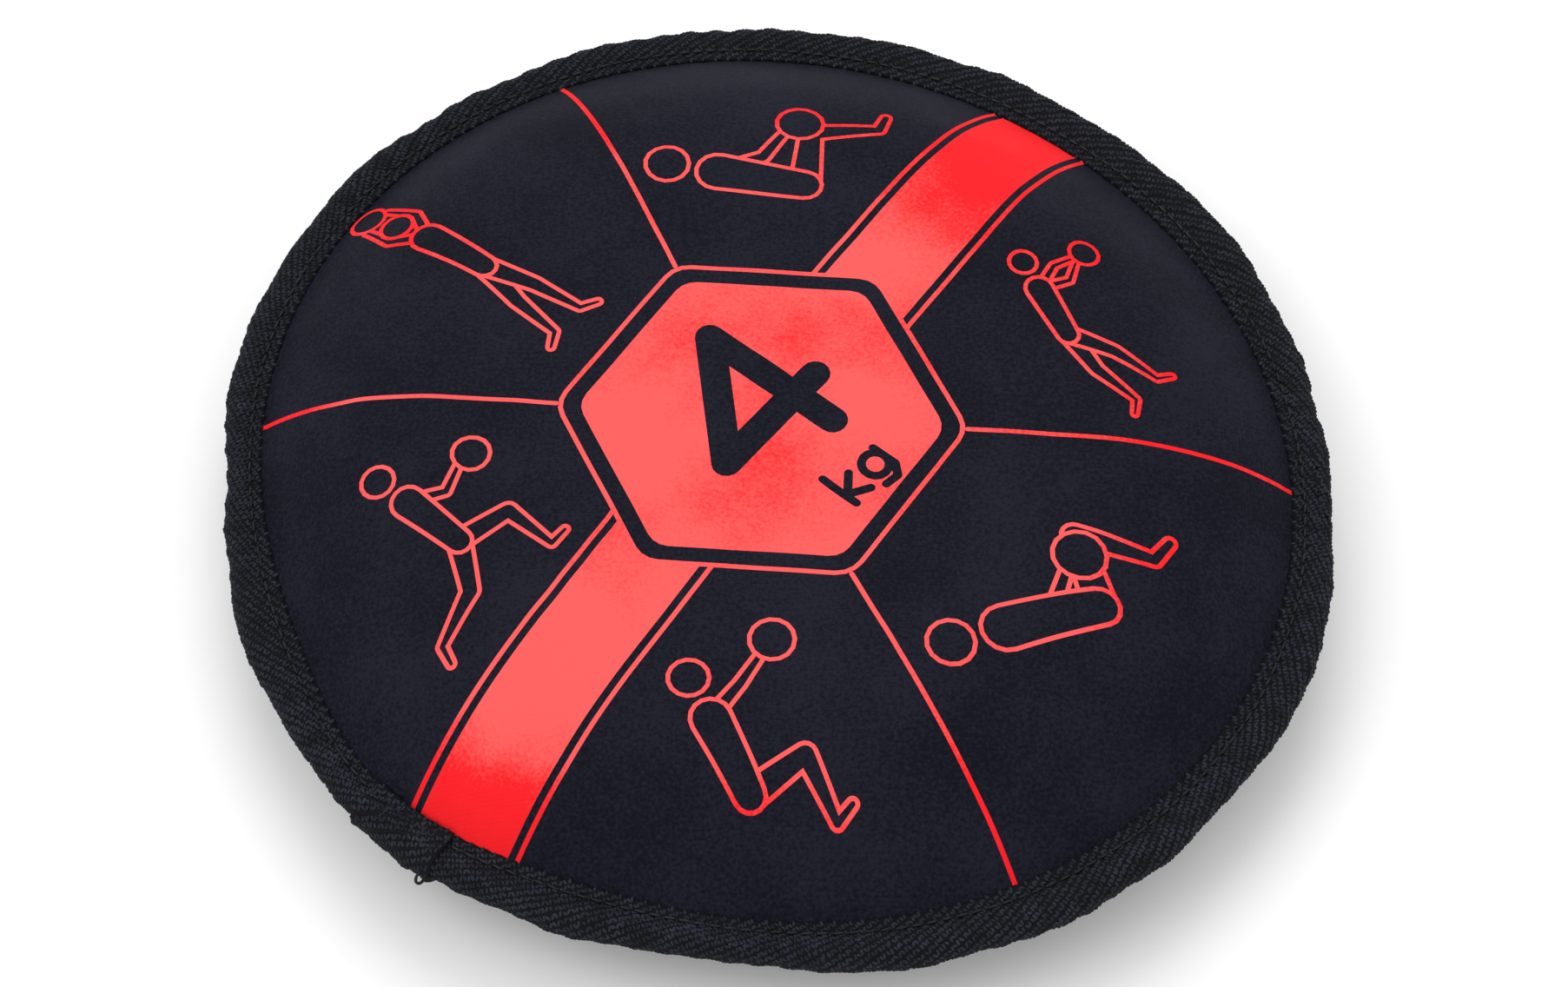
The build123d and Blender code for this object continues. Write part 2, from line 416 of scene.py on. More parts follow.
@dataclass
class Swell:
    """How far a filled panel stands off its plain shape, on rings and spokes that are evenly spaced."""

    reach_mm: float
    heights: Array

    def at(self, radius: Array, angle: Array) -> Array:
        """The swell in mm at a radius and an angle, smooth between the rings and spokes.

        Args:
            radius: radii in mm.
            angle: angles round the disc.

        Returns:
            How far the panel stands off, in mm.
        """
        rings, spokes = self.heights.shape
        along = np.clip(radius / self.reach_mm, 0, 1) * (rings - 1)
        ring = np.clip(np.floor(along).astype(int), 0, rings - 2)
        round_by = (angle / math.tau * spokes) % spokes
        spoke = np.floor(round_by).astype(int)
        rows = []
        for step in (-1, 0, 1, 2):
            row = np.clip(ring + step, 0, rings - 1)
            corners = [self.heights[row, (spoke + turn) % spokes] for turn in (-1, 0, 1, 2)]
            rows.append(catmull(*corners, round_by - spoke))
        return catmull(*rows, along - ring)


# Radii that the panels of the cover and of the bag share: a slight crown, a flat one and the foot
CROWN_MM = 2200.0
FLAT_MM = 1e6
FOOT_MM = 2.0


@dataclass(frozen=True)
class Dome:
    """One panel of the cover or the bag: a crown, a round shoulder and a small hollow foot.

    Heights are those of the outer face. side is +1 above the seam and -1 below it.
    """

    side: int
    crown_z_mm: float
    flange_z_mm: float
    crown_radius_mm: float
    shoulder_start_mm: float
    shoulder_radius_mm: float
    foot_radius_mm: float
    edge_mm: float

    def height(self, radius: Array) -> Array:
        """Height of the outer face off its flange, at a radius, both in mm.

        Args:
            radius: radii in mm.

        Returns:
            Heights in mm.
        """
        climb = abs(self.crown_z_mm - self.flange_z_mm)
        lean = math.asin(self.shoulder_start_mm / self.crown_radius_mm)
        sag = self.crown_radius_mm * (1 - math.cos(lean))
        shoulder_x = self.shoulder_start_mm - self.shoulder_radius_mm * math.sin(lean)
        shoulder_y = climb - sag - self.shoulder_radius_mm * math.cos(lean)
        reach = self.shoulder_radius_mm + self.foot_radius_mm
        foot_x = shoulder_x + math.sqrt(reach**2 - (self.foot_radius_mm - shoulder_y) ** 2)
        turn_x = shoulder_x + self.shoulder_radius_mm * (foot_x - shoulder_x) / reach
        inner = np.minimum(radius, self.shoulder_start_mm)
        crown = climb - self.crown_radius_mm + np.sqrt(self.crown_radius_mm**2 - inner**2)
        outward = np.clip(radius - shoulder_x, 0, self.shoulder_radius_mm)
        shoulder = shoulder_y + np.sqrt(self.shoulder_radius_mm**2 - outward**2)
        inward = np.clip(foot_x - radius, 0, self.foot_radius_mm)
        foot = self.foot_radius_mm - np.sqrt(self.foot_radius_mm**2 - inward**2)
        near_rim = np.where(radius < turn_x, shoulder, foot)
        return np.where(radius < self.shoulder_start_mm, crown, near_rim)


@dataclass(frozen=True)
class Bump:
    """A stretch of the rim that is pushed out, or in where out_mm is below nought."""

    middle_deg: float
    width_deg: float
    out_mm: float


@dataclass
class Rim:
    """How the rim strays from a true circle, because it is sewn by hand round a soft filling.

    The disc is a little oval. The panels carry the tape's inner edge with them, and the tape's fold
    follows less, with a bump or a dent of its own in some places.
    """

    edge_mm: float
    inner_mm: float = 127.5
    steady_mm: float = 70.0
    long_way_deg: float = 135.0
    panel_oval_mm: float = 4.5
    fold_oval_mm: float = 3.0
    panel_bumps: tuple[Bump, ...] = (Bump(225, 18, 7.0),)
    fold_bumps: tuple[Bump, ...] = (
        Bump(2, 14, -2.5),
        Bump(180, 16, -3.0),
        Bump(224, 16, 2.0),
        Bump(264, 13, -4.0),
    )
    # Small waves of the fold: size in mm, how many there are round the disc, and where they start
    fold_waves: tuple[tuple[float, int, float], ...] = ((0.35, 11, 0.6), (0.25, 23, 2.1), (0.15, 41, 0.0))

    def _stray(self, angle: Array, oval_mm: float, bumps: tuple[Bump, ...]) -> Array:
        """How far an edge moves out at an angle, in mm."""
        oval = oval_mm * np.cos(2 * (angle - math.radians(self.long_way_deg)))
        return oval + sum(bump.out_mm * bell(angle, bump.middle_deg, bump.width_deg) for bump in bumps)

    def pull(self, radius: Array, angle: Array) -> Array:
        """Where a point at a radius and an angle comes to lie, as a radius in mm.

        Args:
            radius: radii in mm on the true circle.
            angle: angles round the disc.

        Returns:
            Radii in mm.
        """
        inner = self._stray(angle, self.panel_oval_mm, self.panel_bumps)
        small = sum(size * np.sin(count * angle + start) for size, count, start in self.fold_waves)
        outer = self._stray(angle, self.fold_oval_mm, self.fold_bumps) + small
        panel_share = rise(radius, self.steady_mm, self.inner_mm - 1.5)
        fold_share = rise(radius, self.inner_mm, self.edge_mm)
        return radius + inner * panel_share + (outer - inner) * fold_share


@dataclass
class Face:
    """The outer face of a panel with its swell and its rim, and the layers that lie under it."""

    dome: Dome
    rim: Rim | None = None
    swell: Swell | None = None
    tuck_mm: float = 0.0
    tucks: int = 118
    tuck_ring_mm: float = 124.0
    tuck_reach_mm: float = 4.0

    def outer(self, radius: Array, angle: Array) -> Array:
        """Points of the outer face, in mm, for radii and angles.

        Args:
            radius: radii in mm.
            angle: angles round the disc.

        Returns:
            The points.
        """
        lift = self.dome.height(radius)
        if self.swell is not None:
            lift = lift + self.swell.at(radius, angle)
        if self.tuck_mm:
            by_seam = np.exp(-(((radius - self.tuck_ring_mm) / self.tuck_reach_mm) ** 2))
            lift = lift + self.tuck_mm * by_seam * np.sin(self.tucks * angle + 2 * np.sin(3 * angle))
        reach = self.rim.pull(radius, angle) if self.rim else radius
        height = self.dome.flange_z_mm + self.dome.side * lift
        return round_points(reach, angle, height)

    def normal(self, radius: Array, angle: Array) -> Array:
        """Unit normals of the outer face, pointing out of the disc.

        Args:
            radius: radii in mm.
            angle: angles round the disc.

        Returns:
            The normals.
        """
        x = radius * np.cos(angle)
        y = radius * np.sin(angle)
        step = 0.2
        sides = []
        for dx, dy in ((step, 0), (0, step)):
            ahead = self.outer(np.hypot(x + dx, y + dy), np.arctan2(y + dy, x + dx))
            behind = self.outer(np.hypot(x - dx, y - dy), np.arctan2(y - dy, x - dx))
            sides.append(ahead - behind)
        normal = np.cross(sides[0], sides[1]) * self.dome.side
        return normal / np.linalg.norm(normal, axis=-1, keepdims=True)

    def layer(self, radius: Array, angle: Array, depth_mm: float) -> Array:
        """Points at a depth under the outer face."""
        return self.outer(radius, angle) - self.normal(radius, angle) * depth_mm


@dataclass
class Filling:
    """The sand pressing on a panel, found with Blender's cloth on a coarse copy of it.

    The panel is cut a little too large and pinned at the rim, so the pressure sets it in soft,
    uneven swells. Only the uneven part is kept, because the CAD sizes hold the rest.
    """

    rings: int = 23
    spokes: int = 72
    pressure: float = 4.0
    start_share: float = 0.95
    lowest_mm: float = -0.25
    highest_mm: float = 1.6
    margin_mm: float = 11.0
    uneven: float = 0.012
    kept_waves: int = 14
    oversize: float = 0.02
    stiffness: float = 3.0
    frames: int = 20
    seed: int = 7

    def swell(self, dome: Dome) -> Swell:
        """Press a panel from inside.

        Args:
            dome: the panel's plain shape.

        Returns:
            How far the panel stands off that shape, without its even part.
        """
        reach = dome.edge_mm - self.margin_mm
        radii = np.linspace(0, reach, self.rings)
        angles = np.arange(self.spokes) * math.tau / self.spokes
        lift = np.zeros((self.rings, self.spokes))
        lift = self._press(dome, radii, angles)
        lift -= lift.mean(axis=1, keepdims=True)
        waves = np.fft.rfft(lift, axis=1)
        waves[:, self.kept_waves :] = 0
        lift = np.fft.irfft(waves, self.spokes, axis=1)
        lift = np.clip(lift, self.lowest_mm, self.highest_mm)
        lift[-1] = 0
        lift[0] = lift[0].mean()
        return Swell(reach, lift)

    def _press(self, dome: Dome, radii: Array, angles: Array) -> Array:
        """Run the cloth and return its height off the plain shape at each ring and spoke, in mm.

        Args:
            dome: the panel's plain shape.
            radii: radii of the rings in mm.
            angles: angles of the spokes.

        Returns:
            The heights, ring by ring.
        """
        chance = np.random.default_rng(self.seed)
        radius, angle = np.meshgrid(radii, angles, indexing="ij")
        grown = 1.0 + self.uneven * chance.standard_normal(radius.shape)
        height = dome.height(radius) * self.start_share * grown
        height[0] = height[0, 0]
        height[-1] = 0
        grid = round_points(radius, angle, height)
        verts = np.concatenate([grid[0, :1], grid[1:].reshape(-1, 3)])
        piece = mesh_piece("pressed_panel", verts, polar_faces(self.rings, self.spokes), [])
        pins = piece.vertex_groups.new(name="pins")
        last = len(verts)
        pins.add(list(range(last - self.spokes, last)), 1.0, "REPLACE")
        cloth = piece.modifiers.new("cloth", "CLOTH")
        cloth.settings.vertex_group_mass = "pins"
        cloth.settings.use_pressure = True
        cloth.settings.uniform_pressure_force = self.pressure
        cloth.settings.shrink_min = -self.oversize
        cloth.settings.bending_stiffness = self.stiffness
        cloth.settings.effector_weights.gravity = 0.0
        cloth.point_cache.frame_start = 1
        cloth.point_cache.frame_end = self.frames
        for step in range(1, self.frames + 1):
            bpy.context.scene.frame_set(step)
        settled = piece.evaluated_get(bpy.context.evaluated_depsgraph_get()).data
        place = np.empty(len(verts) * 3)
        settled.vertices.foreach_get("co", place)
        place = place.reshape(-1, 3) / MM
        lift = place[:, 2] - dome.height(np.hypot(place[:, 0], place[:, 1]))
        bpy.data.objects.remove(piece)
        bpy.context.scene.frame_set(1)
        return np.concatenate([np.full((1, self.spokes), lift[0]), lift[1:].reshape(-1, self.spokes)])


def polar_faces(rings: int, spokes: int, first: int = 0, flip: bool = False) -> list[list[int]]:
    """Faces of a round sheet: a middle vertex, then rings of vertices.

    Args:
        rings: how many rings there are, the middle vertex being the first.
        spokes: how many vertices each other ring has.
        first: the number of the middle vertex.
        flip: whether the faces look down instead of up.

    Returns:
        The vertex numbers of each face.
    """
    faces = []
    for spoke in range(spokes):
        ahead = (spoke + 1) % spokes
        faces.append([first, first + 1 + spoke, first + 1 + ahead])
        for ring in range(rings - 2):
            near = first + 1 + ring * spokes
            far = near + spokes
            faces.append([near + spoke, far + spoke, far + ahead, near + ahead])
    return [face[::-1] for face in faces] if flip else faces


def polar_points(place: Callable[[Array, Array], Array], radii: Array, spokes: int) -> Array:
    """Vertices of a round sheet in the order that polar_faces wants.

    Args:
        place: gives points for radii and angles.
        radii: radii of the rings in mm.
        spokes: points in each ring.

    Returns:
        The vertices in mm.
    """
    radius, angle = np.meshgrid(radii, np.arange(spokes) * math.tau / spokes, indexing="ij")
    grid = place(radius, angle)
    return np.concatenate([grid[0, :1], grid[1:].reshape(-1, 3)])


@dataclass
class RoundLayer:
    """A closed round layer of a panel, between two depths under its outer face."""

    face: Face
    top_mm: float
    under_mm: float
    spokes: int = 144
    rings: int = 40
    crowding: float = 1.35

    def radii(self) -> Array:
        """Radii of the rings, closer together near the rim."""
        share = np.linspace(0, 1, self.rings)
        return self.face.dome.edge_mm * (1 - (1 - share) ** self.crowding)

    def make(self, name: str, material: bpy.types.Material) -> bpy.types.Object:
        """Make the layer as a closed piece.

        Args:
            name: the piece's name.
            material: its material.

        Returns:
            The piece.
        """
        radii = self.radii()
        outer = polar_points(lambda r, a: self.face.layer(r, a, self.top_mm), radii, self.spokes)
        inner = polar_points(lambda r, a: self.face.layer(r, a, self.under_mm), radii, self.spokes)
        down = self.face.dome.side < 0
        count = len(outer)
        faces = polar_faces(self.rings, self.spokes, flip=down)
        faces += polar_faces(self.rings, self.spokes, count, flip=not down)
        faces += edge_faces(count - self.spokes, 2 * count - self.spokes, self.spokes, down)
        return mesh_piece(name, np.concatenate([outer, inner]), faces, [material])


def edge_faces(outer: int, inner: int, spokes: int, flip: bool = False) -> list[list[int]]:
    """Faces between two rings of vertices, such as those that close a layer's edge.

    Args:
        outer: first vertex of the outer ring.
        inner: first vertex of the inner ring.
        spokes: points in each ring.
        flip: whether the faces look the other way.

    Returns:
        The faces.
    """
    faces = []
    for spoke in range(spokes):
        ahead = (spoke + 1) % spokes
        face = [outer + spoke, inner + spoke, inner + ahead, outer + ahead]
        faces.append(face[::-1] if flip else face)
    return faces


# ------------------------------------------------------------------ print


class Ink(Enum):
    """What the face of the cover shows at a place."""

    BLACK = 0
    RED = 1


def turned_left(outline: list[Place]) -> list[Place]:
    """The same outline, in anticlockwise order."""
    area = sum(a[0] * b[1] - b[0] * a[1] for a, b in zip(outline, outline[1:] + outline[:1]))
    return outline if area > 0 else outline[::-1]


def arc(centre: Place, radius: float, start: float, end: float) -> list[Place]:
    """Points along an arc, about one for each 25 degrees, its ends included.

    Args:
        centre: middle of the arc.
        radius: its radius in mm.
        start: angle of its first point.
        end: angle of its last point.

    Returns:
        The points.
    """
    steps = max(2, math.ceil(abs(end - start) / math.radians(25)))
    angles = [start + (end - start) * i / steps for i in range(steps + 1)]
    return [(centre[0] + radius * math.cos(a), centre[1] + radius * math.sin(a)) for a in angles]


def limb(a: Joint, b: Joint) -> list[Place]:
    """Outline of a limb that tapers between two round joints.

    Args:
        a: first joint.
        b: second joint.

    Returns:
        The outline, anticlockwise.
    """
    length = math.dist(a[:2], b[:2])
    if length <= abs(a[2] - b[2]):
        thick = a if a[2] > b[2] else b
        return arc(thick[:2], thick[2], 0, math.tau)[:-1]
    way = math.atan2(b[1] - a[1], b[0] - a[0])
    lean = math.acos((a[2] - b[2]) / length)
    return arc(b[:2], b[2], way - lean, way + lean) + arc(a[:2], a[2], way + lean, way + math.tau - lean)


def turned(path: Iterable[Place], way_deg: float) -> list[Place]:
    """The same places, turned anticlockwise about the middle."""
    cos, sin = math.cos(math.radians(way_deg)), math.sin(math.radians(way_deg))
    return [(x * cos - y * sin, x * sin + y * cos) for x, y in path]


def inset(corners: list[Place], distance: float) -> list[Place]:
    """Corners of an anticlockwise polygon whose sides have moved inwards.

    Args:
        corners: the polygon.
        distance: how far its sides move, in mm.

    Returns:
        The new corners.
    """
    moved = []
    count = len(corners)
    for i, here in enumerate(corners):
        before = Vector(here) - Vector(corners[i - 1])
        after = Vector(corners[(i + 1) % count]) - Vector(here)
        before.normalize()
        after.normalize()
        half = Vector((-before.y - after.y, before.x + after.x))
        half.normalize()
        moved.append(tuple(Vector(here) + half * distance / half.dot(Vector((-after.y, after.x)))))
    return moved


def rounded(corners: list[Place], radius: float) -> list[Place]:
    """Outline of an anticlockwise convex polygon with round corners.

    Args:
        corners: the polygon.
        radius: radius of its corners in mm.

    Returns:
        The outline.
    """
    outline = []
    centres = inset(corners, radius)
    count = len(corners)
    for i, centre in enumerate(centres):
        before = Vector(corners[i]) - Vector(corners[i - 1])
        after = Vector(corners[(i + 1) % count]) - Vector(corners[i])
        start = math.atan2(-before.x, before.y)
        turn = (math.atan2(-after.x, after.y) - start) % math.tau
        outline += arc(centre, radius, start, start + turn)
    return outline


@dataclass
class Artwork:
    """The print on the top face, laid down shape over shape. Places are in mm, seen from above.

    It is a regular hexagon, a band that runs through two of its corners from rim to rim, and a
    line that runs out from each of the other four, with a plain figure in each field between them.
    """

    line_mm: float = 1.2
    gap_mm: float = 1.8
    step_mm: float = 2.4
    reach_mm: float = 131.0
    hexagon_middle: Place = (-3.0, -1.3)
    hexagon_mm: float = 50.3
    border_mm: float = 4.0
    corner_mm: float = 7.0
    field_corner_mm: float = 6.0
    band_mm: float = 28.5
    band_way_deg: float = 54.8
    tilt_deg: float = 50.0
    number_mm: float = 7.5
    unit_mm: float = 2.2
    shapes: list[tuple[Ink, list[Place]]] = field(default_factory=list)

    def lay(self, ink: Ink, outline: list[Place]) -> None:
        """Lay one shape over the others, with enough points to bend over the shoulder.

        Args:
            ink: what it shows.
            outline: its corners.
        """
        corners = turned_left(outline)
        points = []
        for here, ahead in zip(corners, corners[1:] + corners[:1]):
            steps = max(1, math.ceil(math.dist(here, ahead) / self.step_mm))
            side = [ahead[k] - here[k] for k in (0, 1)]
            points += [tuple(here[k] + side[k] * i / steps for k in (0, 1)) for i in range(steps)]
        self.shapes.append((ink, points))

    def stroke(self, ink: Ink, path: Iterable[Place], width: float) -> None:
        """Lay a line of even width with round joints.

        Args:
            ink: what it shows.
            path: the places that it runs through.
            width: its width in mm.
        """
        joints = [(x, y, width / 2) for x, y in path]
        for a, b in zip(joints, joints[1:]):
            self.lay(ink, limb(a, b))

    def draw(self) -> None:
        """Lay the whole print down."""
        ways_deg = [self.band_way_deg + 60 * k for k in range(6)]
        corners = [self._out(self.hexagon_mm, way, self.hexagon_middle) for way in ways_deg]
        for k in (0, 3):
            self._band(self._out(self.reach_mm, ways_deg[k]))
        for k in (1, 2, 4, 5):
            self.stroke(Ink.RED, [corners[k], self._out(self.reach_mm, ways_deg[k])], self.line_mm)
        self._hexagon(corners)
        self._weight()
        for figure in figures(self.tilt_deg):
            figure.draw(self)

    def _out(self, length: float, way_deg: float, start: Place = (0.0, 0.0)) -> Place:
        """The place at a length and a way from a start."""
        way = math.radians(way_deg)
        return (start[0] + length * math.cos(way), start[1] + length * math.sin(way))

    def _band(self, end: Place) -> None:
        """A wide band from under the hexagon to the rim, between two thin lines.

        Args:
            end: the end of the band's middle line.
        """
        start = Vector(self.hexagon_middle)
        ahead = (Vector(end) - start).normalized()
        across = Vector((-ahead.y, ahead.x))
        side = (self.band_mm + self.line_mm) / 2
        gap = side - self.line_mm
        for ink, half in ((Ink.RED, side), (Ink.BLACK, gap), (Ink.RED, gap - self.gap_mm)):
            ends = ((start, half), (Vector(end), half), (Vector(end), -half), (start, -half))
            self.lay(ink, [tuple(place + across * off) for place, off in ends])

    def _hexagon(self, corners: list[Place]) -> None:
        """The hexagon: a thin line, a black border and a red field.

        Args:
            corners: its six corners.
        """
        half = self.line_mm / 2
        self.lay(Ink.RED, rounded(inset(corners, -half), self.corner_mm + half))
        self.lay(Ink.BLACK, rounded(inset(corners, half), self.corner_mm - half))
        self.lay(Ink.RED, rounded(inset(corners, half + self.border_mm), self.field_corner_mm))

    def _weight(self) -> None:
        """The weight marked on the disc in plain round-ended strokes: a four, with the unit under it."""
        four = (((7, 26), (-19, -1), (15, -1)), ((7, 26), (7, -13)))
        bowl = arc((3.5, -29), 3.4, 0, math.tau)
        tail = [(6.9, -25.6), (6.9, -32.5), (4.5, -35.2), (0.8, -34.6)]
        unit = (((-8, -22), (-8, -32.4)), ((-2.6, -25.6), (-7.4, -29.2), (-2.4, -32.4)), bowl, tail)
        for strokes, width in ((four, self.number_mm), (unit, self.unit_mm)):
            for path in strokes:
                self.stroke(Ink.BLACK, turned(path, self.tilt_deg), width)


@dataclass(frozen=True)
class Pose:
    """How a figure holds itself, in degrees anticlockwise from its own right.

    An arm is the ways of its two parts, and a leg those of its two parts and its foot.
    """

    spine: float
    arms: tuple[tuple[float, float], ...]
    legs: tuple[tuple[float, float, float], ...]


class Exercise(Enum):
    """The exercises shown, one in each field of the print."""

    SEATED_HOLD = Pose(118, ((-28, 6),), ((34, -42, 20),))
    OVERHEAD_LIFT = Pose(90, ((122, 82), (58, 98)), ((-104, -96, -150), (-76, -84, -30)))
    LUNGE = Pose(88, ((-38, 18),), ((-126, -164, -110), (-16, -92, 0)))
    SQUAT = Pose(66, ((2, 8),), ((-14, -114, 0),))
    SIT_UP = Pose(148, ((-24, 20),), ((54, -64, 0),))
    SIDE_BEND = Pose(64, ((-30, 20), (10, -20)), ((-108, -92, -150), (-72, -84, -30)))


@dataclass(frozen=True)
class Pictogram:
    """A plain figure with a disc in its hands, drawn as the outlines of round-ended limbs.

    Its lengths are shares of a standing height, on the usual proportions of a grown body.
    """

    exercise: Exercise
    middle: Place
    turn_deg: float
    tall_mm: float = 62.0
    line_mm: float = 1.1
    head: float = 0.078
    spine: float = 0.29
    arm: tuple[float, float] = (0.16, 0.15)
    leg: tuple[float, float, float] = (0.23, 0.23, 0.08)
    disc: float = 0.085
    neck: float = 0.09
    hold: float = 0.6
    trunk_radii: tuple[float, ...] = (0.062, 0.078)
    arm_radii: tuple[float, ...] = (0.036, 0.03, 0.024)
    leg_radii: tuple[float, ...] = (0.058, 0.045, 0.028, 0.024)
    thinnest_mm: float = 0.2

    def _chain(
        self, start: Place, ways: Iterable[float], lengths: Iterable[float], radii: Iterable[float]
    ) -> list[Joint]:
        """Joints of a limb, as x, y and a radius in shares of the standing height.

        Args:
            start: where the limb begins.
            ways: the way of each part in degrees.
            lengths: the length of each part.
            radii: the radius at each joint.

        Returns:
            The joints, from the first to the last.
        """
        places = [start]
        for way, length in zip(ways, lengths):
            here = places[-1]
            turn = math.radians(way)
            places.append((here[0] + length * math.cos(turn), here[1] + length * math.sin(turn)))
        return [(*place, radius) for place, radius in zip(places, radii)]

    def _parts(self) -> list[list[Joint]]:
        """The limbs, the trunk, the head and the disc, those behind first.

        Returns:
            The parts, each a chain of joints.
        """
        pose = self.exercise.value
        hip = (0.0, 0.0)
        trunk = self._chain(hip, (pose.spine,), (self.spine,), self.trunk_radii)
        shoulder = trunk[-1][:2]
        neck = self._chain(shoulder, (pose.spine,), (self.head + self.neck,), (self.head, self.head))
        arms = [self._chain(shoulder, ways, self.arm, self.arm_radii) for ways in pose.arms]
        legs = [self._chain(hip, ways, self.leg, self.leg_radii) for ways in pose.legs]
        hands = [arm[-1] for arm in arms]
        grip = Vector((sum(h[0] for h in hands), sum(h[1] for h in hands))) / len(hands)
        reach = (grip - Vector(shoulder)).normalized()
        held = (*(grip + reach * self.hold * self.disc), self.disc)
        return [*legs, *arms, trunk, [held], [neck[-1]]]

    def draw(self, artwork: Artwork) -> None:
        """Lay the figure on the artwork: each part red, then black inside its line.

        Args:
            artwork: the print.
        """
        parts = self._parts()
        joints = [joint for part in parts for joint in part]
        middle = [(min(j[k] for j in joints) + max(j[k] for j in joints)) / 2 for k in (0, 1)]
        for part in parts:
            local = [((x - middle[0]) * self.tall_mm, (y - middle[1]) * self.tall_mm) for x, y, _ in part]
            flat = turned(local, self.turn_deg)
            for ink, shrink in ((Ink.RED, 0.0), (Ink.BLACK, self.line_mm)):
                placed = [
                    (x + self.middle[0], y + self.middle[1], max(r * self.tall_mm - shrink, self.thinnest_mm))
                    for (x, y), (_, _, r) in zip(flat, part)
                ]
                for a, b in zip(placed, placed[1:] or placed):
                    artwork.lay(ink, limb(a, b))


def figures(tilt_deg: float) -> list[Pictogram]:
    """One figure in each field between the lines and the bands, upright with the number.

    Args:
        tilt_deg: how far the print is turned anticlockwise.

    Returns:
        The figures, each about in the middle of its field.
    """
    # For each field: its way round the disc, its distance from the middle and its figure's height
    fields = ((88, 86, 78), (147, 89, 60), (203, 87, 62), (270, 87, 70), (323, 84, 80), (19, 85, 54))
    placed = []
    for exercise, (way_deg, ring_mm, tall_mm) in zip(Exercise, fields):
        way = math.radians(way_deg)
        middle = (ring_mm * math.cos(way), ring_mm * math.sin(way))
        placed.append(Pictogram(exercise, middle, tilt_deg, tall_mm))
    return placed


# ------------------------------------------------------------------ cover


